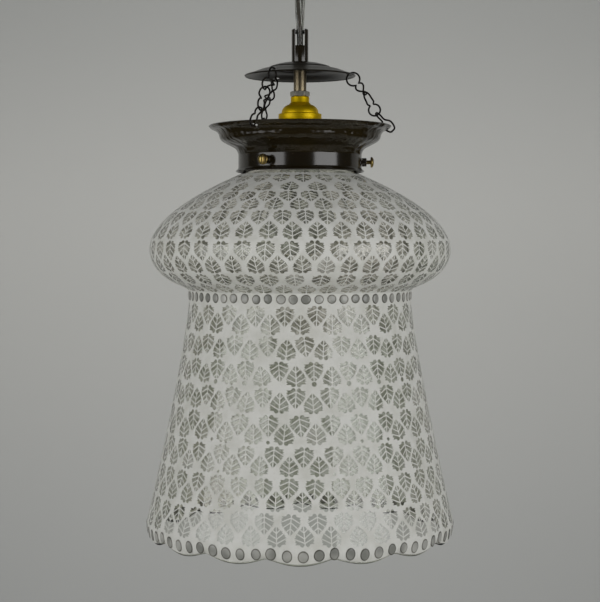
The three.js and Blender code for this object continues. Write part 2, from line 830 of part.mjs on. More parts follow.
// One chain in the X Z plane: two twisted figure-8 links and a hook of the same kind
function chainPieces() {
  const pass = WIRE + LINK_GAP;
  const dishHole = new THREE.Vector3(DISH_HOLE_RADIUS, 0, dishHoleHeight);
  const rimHole = new THREE.Vector3(RIM_HOLE_RADIUS, 0, rimHoleHeight);

  const topWay = sloping(TOP_LINK_SLOPE);
  const topEnd = dishHole.clone().addScaledVector(topWay, TOP_LINK_LENGTH);

  const hookWay = sloping(HOOK_SLOPE);
  const hookTop = rimHole
    .clone()
    .addScaledVector(acrossAt(hookWay, 0), HOOK_LOOP_WIDTH / 2)
    .addScaledVector(hookWay, -HOOK_REACH);
  const hookLength = HOOK_REACH + HOOK_LOOP_END;

  const middleWay = hookTop.clone().sub(topEnd).normalize();
  const middleStart = topEnd.clone().addScaledVector(middleWay, -pass);
  const middleLength = topEnd.distanceTo(hookTop) + 2 * pass;

  const hook = new LinkLine({
    start: hookTop,
    along: hookWay,
    length: hookLength,
    across: (way) =>
      acrossAt(hookWay, -HOOK_TURN * (1 - THREE.MathUtils.smoothstep(way, 0.25, 0.62))),
    width: (way) => {
      const open = THREE.MathUtils.lerp(
        HOOK_EYE_WIDTH,
        HOOK_LOOP_WIDTH,
        THREE.MathUtils.smoothstep(way, 0.3, 0.75),
      );
      const pinch = 0.5 * Math.exp(-Math.pow((way - 0.42) / 0.13, 2));
      return open * (1 - pinch);
    },
    bluntness: HOOK_BLUNTNESS,
  });
  return {
    top_link: eightLink({
      start: dishHole,
      along: topWay,
      near: TOP_LINK_ROUND,
      nearWidth: TOP_LINK_ROUND,
      far: TOP_LINK_LENGTH - TOP_LINK_ROUND,
      farWidth: TOP_LINK_WIDTH,
      turnAt: (way) => -TOP_LINK_TWIST * Math.pow(Math.max(0, way - 0.3) / 0.7, 1.6),
    }),
    middle_link: eightLink({
      start: middleStart,
      along: middleWay,
      near: middleLength - MIDDLE_LINK_ROUND,
      nearWidth: MIDDLE_LINK_WIDTH,
      far: MIDDLE_LINK_ROUND,
      farWidth: MIDDLE_LINK_ROUND,
      turnAt: (way) => -MIDDLE_LINK_TWIST * (1 - THREE.MathUtils.smoothstep(way, 0.3, 0.68)),
    }),
    hook: wireLink(hook, 22),
  };
}

// The middle of the sheet where the chain passes the dish and the gallery's lip
const dishHoleHeight = dishRim + DISH_HOLE_RISE - SHEET / 2;
const rimHoleHeight = rim - 2.9;

place("ceiling_bracket", ceilingBracket(), steel);
place("ceiling_cup", ceilingCup(), bronze);
place("cup_screw_right", cupScrew(), bronze);
place("cup_screw_left", cupScrew(), bronze).rotation.z = Math.PI;
place("terminal_block", terminalBlock(), plastic);
place("cord_grip", cordGrip(), bronze);
place(
  "grip_nut",
  nut(
    GRIP_NUT_FLATS,
    GRIP_THREAD_RADIUS + SEAT_GAP,
    cupBottom + SHEET + SEAT_GAP,
    cupBottom + SHEET + SEAT_GAP + GRIP_NUT_HEIGHT,
  ),
  brass,
);
const blockBottom = -BRACKET_SHEET - SEAT_GAP - BLOCK_SIZE[2];
const cordTop = gripMouth + CORD_WIDTH / 2;
place(
  "cord_tail",
  flatCord(cordTop + SEAT_GAP, blockBottom - SEAT_GAP, 0, 0, 0),
  cordSheath,
);
place(
  "supply_cord",
  flatCord(stemTop + 2, cordTop, 0, 90, CORD_WIDTH / 2),
  cordSheath,
);
place("cord_loop", cordLoop(), bronze);
place("stem_tube", turned([
  [STEM_BORE, stemTop],
  [STEM_RADIUS, stemTop],
  [STEM_RADIUS, stemBottom],
  [STEM_BORE, stemBottom],
]), nickel);
for (const [name, side] of [["live_core", -1], ["neutral_core", 1]]) {
  place(
    name,
    rod(CORE_RADIUS, skirtTop - 0.6, stemTop + 2 - SEAT_GAP, 8).translate(
      0,
      (side * CORE_PITCH) / 2,
      0,
    ),
    plastic,
  );
}
place("chain_dish", chainDish(), bronze);
place("stem_nut", nut(NUT_FLATS, threadBore, nutBottom, nutTop), nickel);
place("holder_cap", holderCap(), brass);
place("holder_insert", holderInsert(), porcelain);
place("holder_skirt", holderSkirt(), brass);
place("shade_ring", shadeRing(), brass);
place("bulb_cap", bulbCap(), nickel);
place("bulb_glass", bulbGlass(), glass);
place("gallery", gallery(), bronze);
place("glass_shade", glassShade(), glass);

for (const [side, turn] of CHAINS) {
  const around = new THREE.Group();
  around.rotation.z = turn * RAD;
  lamp.add(around);
  place("screw_boss_" + side, screwBoss(), bronze, around);
  place("thumb_screw_" + side, thumbScrew(), brass, around);
  for (const [piece, geometry] of Object.entries(chainPieces())) {
    place(`${side}_chain_${piece}`, geometry, darkWire, around);
  }
}

export default lamp;
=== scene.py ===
import math
import random

import bmesh
import bpy
import numpy as np
from mathutils import Matrix, Vector


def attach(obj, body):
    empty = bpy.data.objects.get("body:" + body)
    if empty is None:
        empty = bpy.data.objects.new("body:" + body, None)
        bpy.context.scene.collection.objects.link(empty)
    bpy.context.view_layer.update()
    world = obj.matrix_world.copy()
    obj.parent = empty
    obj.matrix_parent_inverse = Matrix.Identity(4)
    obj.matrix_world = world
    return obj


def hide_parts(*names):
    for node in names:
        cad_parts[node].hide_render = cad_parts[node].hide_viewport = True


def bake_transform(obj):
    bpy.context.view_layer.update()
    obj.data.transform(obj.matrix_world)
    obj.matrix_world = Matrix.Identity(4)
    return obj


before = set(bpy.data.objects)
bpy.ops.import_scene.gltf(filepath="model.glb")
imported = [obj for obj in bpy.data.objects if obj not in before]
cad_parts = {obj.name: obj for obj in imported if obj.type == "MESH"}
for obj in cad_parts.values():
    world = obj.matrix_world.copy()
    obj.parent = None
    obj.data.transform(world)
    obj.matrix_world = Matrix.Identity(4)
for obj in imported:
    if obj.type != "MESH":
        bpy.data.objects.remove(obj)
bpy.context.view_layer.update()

MM = 0.001

# --------------------------------------
# The photographer's set: a level camera a little above the glass's widest line, a grey sweep of
# paper behind the lamp, two wide soft boxes beside the camera and one large one overhead.

def placed(name, data):
    """An object with some data, put in the scene."""
    made = bpy.data.objects.new(name, data)
    bpy.context.collection.objects.link(made)
    return made


PICTURE = 602  # the picture's longer side in pixels
FOCAL_LENGTH = 1500  # in the same pixels
HORIZON = 61  # how far the horizon lies above the picture's middle, in the same pixels
lens = bpy.data.cameras.new("camera")
lens.sensor_width = 36
lens.lens = FOCAL_LENGTH * 36 / PICTURE
lens.shift_y = -HORIZON / PICTURE
camera = placed("camera", lens)
camera.location = (0, -1.275, -0.276)
camera.rotation_euler = (math.radians(90), 0, 0)
bpy.context.scene.camera = camera

bpy.context.scene.view_settings.view_transform = "Standard"


def linear(red, green, blue):
    """A colour as it is seen on a screen, 0 to 255, made linear."""
    return tuple(((c / 255 + 0.055) / 1.055) ** 2.4 for c in (red, green, blue)) + (1.0,)


class Shade:
    """
    A node's output. Numbers and other outputs can be added to it and multiplied with it, and it
    can be taken from a number.
    """

    def __init__(self, tree, socket=None):
        self.tree = tree
        self.socket = socket

    def node(self, kind, settings=None, inputs=None, output=0):
        """Any node: its type, its settings, its sockets' values or links, and the output used."""
        made = self.tree.nodes.new(kind)
        for name, value in (settings or {}).items():
            setattr(made, name, value)
        for name, value in (inputs or {}).items():
            if isinstance(value, Shade):
                self.tree.links.new(value.socket, made.inputs[name])
            else:
                made.inputs[name].default_value = value
        return Shade(self.tree, made.outputs[output])

    def __add__(self, other):
        return self.node("ShaderNodeMath", {"operation": "ADD"}, {0: self, 1: other})

    def __mul__(self, other):
        return self.node("ShaderNodeMath", {"operation": "MULTIPLY"}, {0: self, 1: other})

    def __rsub__(self, other):
        return self.node("ShaderNodeMath", {"operation": "SUBTRACT"}, {0: other, 1: self})

    __radd__ = __add__
    __rmul__ = __mul__

    def between(self, low, high):
        """0 below low, 1 above high, smooth in between."""
        steps = {"interpolation_type": "SMOOTHSTEP"}
        return self.node("ShaderNodeMapRange", steps, {0: self, 1: low, 2: high})

    def blend(self, first, second):
        """The second colour where self is 1, the first where it is 0."""
        return self.node("ShaderNodeMix", {"data_type": "RGBA"}, {0: self, 6: first, 7: second}, 2)

    def place(self):
        """The place in the piece's own measures, in metres."""
        return self.node("ShaderNodeTexCoord", output=3)

    def noise(self, scale, detail=3.0, stretch=None):
        at = self.place()
        if stretch:
            at = self.node("ShaderNodeMapping", None, {0: at, 3: stretch})
        return self.node("ShaderNodeTexNoise", None, {0: at, 2: scale, 3: detail})

    def height(self):
        """The height above the origin, in metres."""
        return self.node("ShaderNodeSeparateXYZ", None, {0: self.place()}, 2)

    def wave(self, scale, distortion=0.0):
        """Slanting stripes."""
        inputs = {0: self.place(), 1: scale, 2: distortion}
        return self.node("ShaderNodeTexWave", {"bands_direction": "DIAGONAL"}, inputs, 1)

    def bump(self, strength, distance):
        """The shading of a surface that this pattern raises."""
        inputs = {"Strength": strength, "Distance": distance, "Height": self}
        return self.node("ShaderNodeBump", None, inputs)

    def look(self, dark, light, rough, rougher=0.0, **sockets):
        """A surface whose colour and roughness follow this pattern, with _ in sockets' names."""
        sockets["Base_Color"] = self.blend(linear(*dark), linear(*light))
        sockets["Roughness"] = rough + rougher * self if rougher else rough
        return sockets


def finish(name, paint, *values):
    """A material whose main shader takes what paint(at, *values) returns, socket by socket."""
    made = bpy.data.materials.new(name)
    made.use_nodes = True
    tree = made.node_tree
    main = tree.nodes["Principled BSDF"]
    for key, value in paint(Shade(tree), *values).items():
        socket = main.inputs[key.replace("_", " ")]
        if isinstance(value, Shade):
            tree.links.new(value.socket, socket)
        else:
            socket.default_value = value
    return made


def in_metal(at):
    """1 where a surface is seen mirrored in a polished one, but not through glass."""
    mirrored = at.node("ShaderNodeLightPath", output=3)
    return mirrored * (1 - at.node("ShaderNodeLightPath", output=6))


def paper(at):
    side = at.node("ShaderNodeSeparateXYZ", None, {0: at.place()}, 0)
    height = at.height()
    # The sweep is painted lightest at about the camera's height and darker higher up, lower down
    # and towards its sides: painted shade where the lamps' light falls off, with a faint random
    # mottle. The floor is much paler.
    wall = height.between(-0.25, 0.35).blend(linear(197, 197, 193), linear(171, 172, 169))
    wall = height.between(-0.2, -1.05).blend(wall, linear(180, 181, 178))
    off_middle = at.node("ShaderNodeMath", {"operation": "ABSOLUTE"}, {0: side})
    side_shade_and_mottle = 0.09 * off_middle.between(0.15, 0.8) + 0.04 * at.noise(0.8, 2.0)
    wall = side_shade_and_mottle.blend(wall, (0, 0, 0, 1))
    floor = in_metal(at).blend(linear(226, 226, 222), linear(58, 58, 56))
    colour = height.between(-1.12, -1.02).blend(floor, wall)
    return {"Base_Color": colour, "Roughness": 0.95, "Specular_IOR_Level": 0.1}


def mesh_of(name, shape):
    """A bmesh made a mesh, and freed."""
    made = bpy.data.meshes.new(name)
    shape.to_mesh(made)
    shape.free()
    return made


def parts_of(made, kind):
    """The vertices, edges or faces among what an operator made."""
    return [part for part in made if isinstance(part, kind)]


SWEEP_FLOOR = -1.15
SWEEP_WIDTH = 9
SWEEP_BEND = 0.7
sweep = bmesh.new()
sweep_line = [(-3.2, SWEEP_FLOOR), (1.0, SWEEP_FLOOR)]
for degrees in range(10, 91, 10):
    a = math.radians(degrees)
    sweep_line.append((1.0 + SWEEP_BEND * math.sin(a), -0.45 - SWEEP_BEND * math.cos(a)))
sweep_line.append((1.7, 2.6))
sweep_verts = [sweep.verts.new((-SWEEP_WIDTH / 2, y, z)) for y, z in sweep_line]
sweep_edges = [sweep.edges.new(pair) for pair in zip(sweep_verts, sweep_verts[1:])]
pulled = bmesh.ops.extrude_edge_only(sweep, edges=sweep_edges)["geom"]
bmesh.ops.translate(sweep, verts=parts_of(pulled, bmesh.types.BMVert), vec=(SWEEP_WIDTH, 0, 0))
for face in sweep.faces:
    face.smooth = True
sweep_mesh = mesh_of("paper_sweep", sweep)
sweep_mesh.materials.append(finish("grey_paper", paper))
placed("paper_sweep", sweep_mesh)


def soft_box(name, at, aim, width, height, power):
    """A lamp of a width and height in metres and a power in watts, aimed at a point."""
    light = bpy.data.lights.new(name, "AREA")
    light.shape = "RECTANGLE"
    light.size = width
    light.size_y = height
    light.energy = power
    lamp = placed(name, light)
    lamp.location = at
    lamp.rotation_euler = (Vector(aim) - Vector(at)).to_track_quat("-Z", "Y").to_euler()
    lamp.visible_camera = False


soft_box("soft_box_left", (-1.79, -1.31, -0.3), (0, 0, -0.35), 2.1, 1.4, 18)
soft_box("soft_box_right", (1.66, -1.46, -0.3), (0, 0, -0.35), 1.8, 1.4, 19)
soft_box("soft_box_above", (0, -0.3, 1.7), (0, 0, -0.3), 2.0, 2.0, 3)

# Pale below and duller above, and a dark room where polished metal mirrors it
world = bpy.data.worlds.new("room")
world.use_nodes = True
room = Shade(world.node_tree)
facing = room.node("ShaderNodeTexCoord", output=0)
upward = room.node("ShaderNodeSeparateXYZ", None, {0: facing}, 2)
walls = upward.between(-0.7, 0.9).blend((0.8, 0.8, 0.79, 1), (0.34, 0.34, 0.35, 1))
walls = in_metal(room).blend(walls, (0.025, 0.025, 0.025, 1))
world.node_tree.links.new(walls.socket, world.node_tree.nodes["Background"].inputs[0])
bpy.context.scene.world = world


# --------------------------------------
# Supply cord: clear flat twin cord, a dull copper strand and a tinned one in one soft sheath
# with a groove down each side. It hangs straight from the ceiling's cord grip and turns a
# quarter on its way into the loop on the stem.

def piece(name, shape, material, body, slot, *nodes, sharp=34):
    """
    A finished piece of the lamp: a bmesh with smooth faces, and hard edges past so many degrees,
    in its material, on its body if it rides on one, and in place of its CAD nodes.
    """
    for edge in shape.edges:
        edge.smooth = edge.calc_face_angle(0) < math.radians(sharp)
    for face in shape.faces:
        face.smooth = True
    mesh = mesh_of(name, shape)
    mesh.materials.append(material)
    made = placed(name, mesh)
    if body:
        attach(made, body)
    if nodes:
        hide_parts(*nodes)
    return made


CORD_WIDTH = 9
CORD_THICKNESS = 5.2
GROOVE_DEPTH = 0.2  # as a share of the thickness
GROOVE_WIDTH = 0.22  # as a share of the width
STRAND_RADIUS = 1.15
STRAND_OFFSET = 1.75
CORD_HIGH = -52.5
CORD_LOW = -113
TURN_HIGH = -61.5
TURN_LOW = -108
TAIL_HIGH = -14.6
TAIL_LOW = -52.2


def eased(value, low, high):
    """0 at low, 1 at high, smooth in between."""
    share = min(1, max(0, (value - low) / (high - low)))
    return share * share * (3 - 2 * share)


def cord_turn(z):
    """How far the flat cord has turned at a height, in radians."""
    return math.radians(90) * eased(-z, -TURN_HIGH, -TURN_LOW)


def cord_run(section, high, low, turning, steps):
    """A section pulled down, turned with the cord or not, and closed at both ends."""
    shape = bmesh.new()
    circle = bmesh.ops.create_circle(shape, cap_ends=False, radius=1, segments=len(section))
    for vert, (x, y) in zip(circle["verts"], section):
        vert.co = (x * MM, y * MM, high * MM)
    edges = first = list(shape.edges)
    step = (low - high) / steps
    for i in range(steps):
        z = high + step * i
        pulled = bmesh.ops.extrude_edge_only(shape, edges=edges)["geom"]
        verts = parts_of(pulled, bmesh.types.BMVert)
        edges = parts_of(pulled, bmesh.types.BMEdge)
        bmesh.ops.translate(shape, verts=verts, vec=(0, 0, step * MM))
        if turning:
            turn = cord_turn(z + step) - cord_turn(z)
            spin = Matrix.Rotation(turn, 3, "Z")
            bmesh.ops.rotate(shape, verts=verts, cent=(0, 0, 0), matrix=spin)
    bmesh.ops.contextual_create(shape, geom=first)
    bmesh.ops.contextual_create(shape, geom=edges)
    bmesh.ops.recalc_face_normals(shape, faces=shape.faces)
    return shape


def twin_section(sides=32):
    """The cord's section: two round lobes side by side, with a soft groove between."""
    lobe = CORD_THICKNESS / 2
    apart = CORD_WIDTH / 2 - lobe
    points = []
    for i in range(sides):
        a = 2 * math.pi * i / sides
        across = abs(math.cos(a))
        pinch = 1 - GROOVE_DEPTH * math.exp(-((across / GROOVE_WIDTH) ** 2))
        x = math.cos(a) * (CORD_WIDTH / 2)
        inner = max(0, abs(x) - apart)
        y = math.sqrt(max(0, lobe * lobe - inner * inner)) * pinch
        points.append((x, math.copysign(y, math.sin(a))))
    return points


def ring(wide, x=0.0, y=0.0, sides=12, high=None):
    """Points round a middle, on a circle, or on an oval if it reaches another way up."""
    turns = [2 * math.pi * i / sides for i in range(sides)]
    return [(x + wide * math.cos(a), y + (high or wide) * math.sin(a)) for a in turns]


def clear_sheath(at):
    cloud = at.noise(60, 3.0, (1, 1, 0.2))
    look = cloud.look((190, 191, 184), (216, 218, 211), 0.1, 0.12, Normal=cloud.bump(0.15, 0.0004))
    return look | {"IOR": 1.46, "Transmission_Weight": 0.95}


def stranded(at, dark, light):
    # Painted shade: each strand is painted darker in the wave's grooves and lighter on its crests,
    # the same wave that raises its bump, as shade between the twisted wires.
    lay_and_groove_shade = at.wave(900.0, 0.6)
    return lay_and_groove_shade.look(dark, light, 0.34, Metallic=1.0, Normal=lay_and_groove_shade.bump(0.6, 0.0003))


clear_cord = finish("clear_cord_sheath", clear_sheath)
strand_metals = {
    "live": finish("dull_copper_strand", stranded, (52, 44, 34), (104, 90, 70)),
    "neutral": finish("tinned_strand", stranded, (96, 94, 88), (178, 176, 168)),
}


def twin_cord(name, high, low, body, turning, steps):
    """A length of cord: its sheath, in place of the CAD's cord, and its two strands."""
    sheath = cord_run(twin_section(), high, low, turning, steps)
    pieces = [piece(f"{name}_sheath", sheath, clear_cord, body, "clear_cord", name, sharp=50)]
    for core, x in (("live", -STRAND_OFFSET), ("neutral", STRAND_OFFSET)):
        strand = cord_run(ring(STRAND_RADIUS, x), high - 0.2, low + 0.2, turning, steps)
        metal = strand_metals[core]
        pieces.append(piece(f"{name}_{core}_strand", strand, metal, body, "clear_cord", sharp=50))
    return pieces


supply_cord, *cord_cores = twin_cord("supply_cord", CORD_HIGH, CORD_LOW, None, True, 40)
for part in (supply_cord, *cord_cores):
    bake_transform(part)
twin_cord("cord_tail", TAIL_HIGH, TAIL_LOW, "ceiling_fitting", False, 12)


# --------------------------------------
# Ceiling bracket: a strip of zinc-plated steel with two slots for the ceiling screws, its ends
# turned down and tapped for the cup's side screws.

def plated(at):
    spangle = at.node("ShaderNodeTexVoronoi", None, {0: at.place(), 2: 420.0})
    grain = at.noise(900, 2.0)
    look = spangle.look((214, 211, 196), (188, 185, 171), 0.3 + 0.2 * grain, Metallic=1.0)
    return look | {"Normal": grain.bump(0.08, 0.0002)}


def dress(node, material):
    """A CAD node that is shown as it is, in its own finish."""
    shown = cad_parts[node]
    if not shown.material_slots:
        shown.data.materials.append(material)
    for slot in shown.material_slots:
        slot.material = material


zinc_steel = finish("zinc_plated_steel", plated)
dress("ceiling_bracket", zinc_steel)


# --------------------------------------
# Ceiling cup: a bowl spun from brass sheet and patinated dark bronze under clear lacquer. Two
# slotted screws through its side hold it to the bracket's ears.

def turn_round(shape, line, sides):
    """A line's vertices and edges are turned about the upright axis, all the way round."""
    bmesh.ops.spin(
        shape,
        geom=line,
        cent=(0, 0, 0),
        axis=(0, 0, 1),
        angle=2 * math.pi,
        steps=sides,
        use_merge=True,
    )


def spun(outline, sides=96, closed=True):
    """An outline of [radius, height] points in mm, turned about the upright axis."""
    shape = bmesh.new()
    verts = [shape.verts.new((r * MM, 0, z * MM)) for r, z in outline]
    ends = verts[1:] + verts[:1] if closed else verts[1:]
    edges = [shape.edges.new(pair) for pair in zip(verts, ends)]
    turn_round(shape, verts + edges, sides)
    bmesh.ops.remove_doubles(shape, verts=shape.verts, dist=1e-7)
    bmesh.ops.dissolve_degenerate(shape, dist=1e-8, edges=shape.edges)
    bmesh.ops.recalc_face_normals(shape, faces=shape.faces)
    return shape


def arc(r, z, reach_r, reach_z, start, stop, steps):
    """Points of an ellipse's arc, from one angle in degrees to another."""
    turns = [math.radians(start + (stop - start) * i / steps) for i in range(steps + 1)]
    return [(r + reach_r * math.cos(a), z + reach_z * math.sin(a)) for a in turns]


def smooth(points, steps):
    """A smooth line through a few points."""
    made = []
    for i in range(steps + 1):
        at = (len(points) - 1) * i / steps
        k = min(int(at), len(points) - 2)
        t = at - k
        a, b, c, d = (points[min(max(k + n, 0), len(points) - 1)] for n in (-1, 0, 1, 2))
        made.append(tuple(
            ((d[n] - b[n]) / 2 + (c[n] - a[n]) / 2 + 2 * b[n] - 2 * c[n]) * t ** 3
            + (3 * c[n] - 3 * b[n] - (c[n] - a[n]) - (d[n] - b[n]) / 2) * t * t
            + (c[n] - a[n]) / 2 * t
            + b[n]
            for n in (0, 1)
        ))
    return made


def inwards(line, wall):
    """A line of a wall's outside, moved inwards by the wall."""
    made = []
    for i, (r, z) in enumerate(line):
        r0, z0 = line[max(i - 1, 0)]
        r1, z1 = line[min(i + 1, len(line) - 1)]
        length = math.hypot(r1 - r0, z1 - z0)
        made.append((r + wall * (z1 - z0) / length, z - wall * (r1 - r0) / length))
    return made


def walled(line, wall):
    """The outline of a wall, from a line of its outside."""
    return line + inwards(line, wall)[::-1]


def combined(operation, shape, *tools):
    """A shape less each tool, or what it has in common with them, as the operation says."""
    parts = [placed("form", mesh_of("form", form)) for form in (shape, *tools)]
    for tool in parts[1:]:
        cut = parts[0].modifiers.new("cut", "BOOLEAN")
        cut.operation = operation
        cut.solver = "EXACT"
        cut.object = tool
    whole = bpy.context.evaluated_depsgraph_get()
    made = bmesh.new()
    made.from_mesh(parts[0].evaluated_get(whole).to_mesh())
    for part in parts:
        bpy.data.objects.remove(part)
    return made


def drilled(shape, *tools):
    """Holes: each tool is taken out of the shape, and its faces become the hole's wall."""
    return combined("DIFFERENCE", shape, *tools)


def peg(radius, low, high, sides=24):
    """A rod along the upright axis between two heights."""
    shape = bmesh.new()
    bmesh.ops.create_cone(
        shape,
        cap_ends=True,
        segments=sides,
        radius1=radius * MM,
        radius2=radius * MM,
        depth=(high - low) * MM,
        matrix=Matrix.Translation((0, 0, (low + high) / 2 * MM)),
    )
    return shape


def block(width, depth, low, high, x=0, y=0):
    """A block between two heights."""
    shape = bmesh.new()
    middle = Matrix.Translation((x * MM, y * MM, (low + high) / 2 * MM))
    size = Matrix.Diagonal((width * MM, depth * MM, (high - low) * MM, 1))
    bmesh.ops.create_cube(shape, size=1, matrix=middle @ size)
    return shape


def laid(shape, height, turn=0.0):
    """A shape turned on the upright axis is laid along the lamp's radius, at a height."""
    place = (
        Matrix.Rotation(math.radians(turn), 4, "Z")
        @ Matrix.Translation((0, 0, height * MM))
        @ Matrix.Rotation(math.radians(90), 4, "Y")
    )
    bmesh.ops.transform(shape, matrix=place, verts=shape.verts)
    return shape


def moved_round(shape, turn, radius=0.0):
    """A shape moved out from the lamp's axis by a radius, and round it by some degrees."""
    place = Matrix.Rotation(math.radians(turn), 4, "Z")
    place @= Matrix.Translation((radius * MM, 0, 0))
    bmesh.ops.transform(shape, matrix=place, verts=shape.verts)
    return shape


def softened(shape, width, angle=40):
    """Edges sharper than an angle get a small round."""
    edges = [e for e in shape.edges if e.calc_face_angle(0) > math.radians(angle)]
    bmesh.ops.bevel(
        shape,
        geom=edges,
        offset=width * MM,
        offset_type="OFFSET",
        affect="EDGES",
        segments=2,
        profile=0.5,
        material=-1,
        clamp_overlap=True,
    )
    return shape


def patinated(at, roughness):
    cloud = at.noise(28, 5.0)
    fleck = at.noise(420, 3.0).between(0.66, 0.76)
    ground = cloud.blend(linear(8, 6, 2), linear(32, 25, 8))
    return {
        "Base_Color": fleck.blend(ground, linear(58, 46, 24)),
        "Roughness": roughness + 0.08 * cloud + 0.16 * fleck,
        "Specular_IOR_Level": 0.8,
        "Normal": at.noise(38, 3.0).bump(0.1, 0.0007),
    }


dark_bronze = finish("dark_bronze", patinated, 0.12)

SHEET = 1.1
CUP_RADIUS = 46
CUP_BOTTOM = -42
CUP_FLAT = 9.5
CUP_SHOULDER = -14
CUP_SCREW = -9
cup_line = [(CUP_RADIUS, -0.3), (CUP_RADIUS, -1.4), (CUP_RADIUS, -12)]
cup_line += arc(
    CUP_FLAT, CUP_SHOULDER, CUP_RADIUS - CUP_FLAT, CUP_SHOULDER - CUP_BOTTOM, 0, -90, 28
)
cup_line += [(6.7, CUP_BOTTOM)]
cup = drilled(spun(walled(cup_line, SHEET)), laid(peg(2.2, -48, 48), CUP_SCREW))
piece("ceiling_cup_bowl", cup, dark_bronze, "ceiling_fitting", "dark_bronze", "ceiling_cup")

cup_screw_line = [(0, 35), (1.6, 35), (1.9, 35.6), (1.9, 46.3), (3.3, 46.3), (3.6, 46.6)]
cup_screw_line += arc(0, 46.6, 3.6, 1.5, 6, 90, 7)
cup_screw_line = cup_screw_line[:-1] + [(0, 48.1)]
for side, turn, slot_x in (("right", 0, 48.9), ("left", 180, -48.9)):
    slot = block(3, 0.9, CUP_SCREW - 5, CUP_SCREW + 5, slot_x)
    screw = drilled(laid(spun(cup_screw_line, 40, False), CUP_SCREW, turn), slot)
    name = f"cup_screw_{side}"
    piece(f"{name}_slotted", screw, dark_bronze, "ceiling_fitting", "dark_bronze", name)


# --------------------------------------
# Inside the cup: the terminal block is moulded from white plastic, and the cord grip is a
# turned sleeve whose thread passes through the cup and takes a brass hexagon nut.

def moulded(at):
    grain = at.noise(700, 2.0)
    look = at.noise(40, 3.0).look((222, 220, 212), (232, 230, 224), 0.42 + 0.12 * grain)
    return look | {"Normal": grain.bump(0.1, 0.0002)}


dress("terminal_block", finish("white_moulding", moulded))

grip_line = [(5, -28.9), (6.4, -28.9)]
for i in range(12):
    z = -29.4 - i
    grip_line += [(6.4, z), (6.0, z - 0.5)]
grip_line += [(6.4, -41.6), (6.4, -42.3), (7.6, -42.3), (8, -42.7), (8, -53)]
grip_line += arc(6.4, -53.4, 1.6, 3.6, 0, -90, 8) + [(5.6, -57), (5, -55)]
grip = spun(grip_line, 64)
piece("cord_grip_sleeve", grip, dark_bronze, "ceiling_fitting", "dark_bronze", "cord_grip")


def lacquered(at):
    brushed = at.noise(160, 4.0, (1, 1, 9))
    cloud = at.noise(22, 4.0)
    look = cloud.look((248, 212, 8), (230, 192, 6), 0.42 + 0.16 * brushed, Metallic=0.9)
    coat = {"Coat_Weight": 0.08, "Coat_Roughness": 0.2}
    return look | coat | {"Normal": brushed.bump(0.06, 0.0003)}


brass = finish("lacquered_brass", lacquered)


def hexagon_nut(flats, bore, low, high):
    """A hexagon nut with one flat to the front, its corners chamfered and its edges eased."""
    shape = peg(flats / math.sqrt(3), low, high, 6)
    flat_to_front = Matrix.Rotation(math.radians(30), 3, "Z")
    bmesh.ops.rotate(shape, verts=shape.verts, cent=(0, 0, 0), matrix=flat_to_front)
    crown = flats / 2
    reach = flats / math.sqrt(3) + 0.3
    drop = (reach - crown) * math.tan(math.radians(28))
    chamfers = [(0, high), (crown, high), (reach, high - drop)]
    chamfers += [(reach, low + drop), (crown, low), (0, low)]
    whole = combined("INTERSECT", shape, spun(chamfers, 48, False))
    return softened(drilled(whole, peg(bore, low - 1, high + 1, 40)), 0.18)


grip_nut = hexagon_nut(17, 6.7, -40.6, -36.6)
piece("grip_nut_hexagon", grip_nut, brass, "ceiling_fitting", "lacquered_brass", "grip_nut")


# --------------------------------------
# Cord loop: a turned sleeve with a window milled through it. The cord enters through the open
# slot in its top bar and goes down the stem, which screws into its lower end.

LOOP_TOP = -97
WINDOW_TOP = -100.3
WINDOW_BOTTOM = -111.2
LOOP_BOTTOM = -125
loop_line = [
    (5, LOOP_TOP), (6.45, LOOP_TOP), (7.05, LOOP_TOP - 0.6), (7.05, LOOP_BOTTOM + 0.3),
    (6.75, LOOP_BOTTOM), (5.75, LOOP_BOTTOM), (5.75, -114.7), (5, -114.7),
]
loop = drilled(
    spun(loop_line, 72),
    block(7.8, 28, WINDOW_BOTTOM, WINDOW_TOP),
    block(7.8, 14, WINDOW_TOP - 1, LOOP_TOP + 1, 0, -7.05),
)
loop = softened(loop, 0.22, 50)
piece("cord_loop_sleeve", loop, dark_bronze, "pendant", "dark_bronze", "cord_loop")


# --------------------------------------
# Stem: a threaded tube in worn antique nickel, with a zinc-plated hexagon nut that locks the
# lampholder on it. The two cores of the cord go down its bore in thin sleeves.

def worn_nickel(at):
    streak = at.noise(60, 5.0, (1, 1, 0.12))
    spot = at.noise(150, 4.0).between(0.6, 0.72)
    normal = streak.bump(0.08, 0.0004)
    look = streak.look((124, 112, 88), (170, 158, 132), 0.3, 0.16, Metallic=1.0, Normal=normal)
    look["Base_Color"] = (spot * 0.7).blend(look["Base_Color"], linear(118, 102, 82))
    return look


old_nickel = finish("antique_nickel", worn_nickel)

STEM_TOP = -115
STEM_BOTTOM = -163.1
NUT_TOP = -149.8
NUT_BOTTOM = -154.1
STEM_THREADS = 48
stem_line = [(4, STEM_TOP), (5.2, STEM_TOP)]
for i in range(STEM_THREADS):
    z = STEM_TOP - 0.3 - (STEM_TOP - STEM_BOTTOM - 0.6) * i / STEM_THREADS
    stem_line += [(5.32, z), (5.44, z - 0.3), (5.44, z - 0.6)]
stem_line += [(5.3, STEM_BOTTOM + 0.2), (5.2, STEM_BOTTOM), (4, STEM_BOTTOM)]
tube = spun(stem_line, 48)
piece("stem_threaded_tube", tube, old_nickel, "pendant", "old_nickel", "stem_tube", sharp=60)
stem_nut = hexagon_nut(14.5, 5.75, NUT_BOTTOM, NUT_TOP)
piece("stem_nut_hexagon", stem_nut, zinc_steel, "pendant", "old_nickel", "stem_nut")


def sleeving(at, dark, light):
    # Painted shade: the braid is painted darker in the wave's dips and lighter on its crests, the
    # same wave that raises its bump.
    braid = at.wave(700.0)
    return braid.look(dark, light, 0.5, 0.1, Normal=braid.bump(0.2, 0.0002))


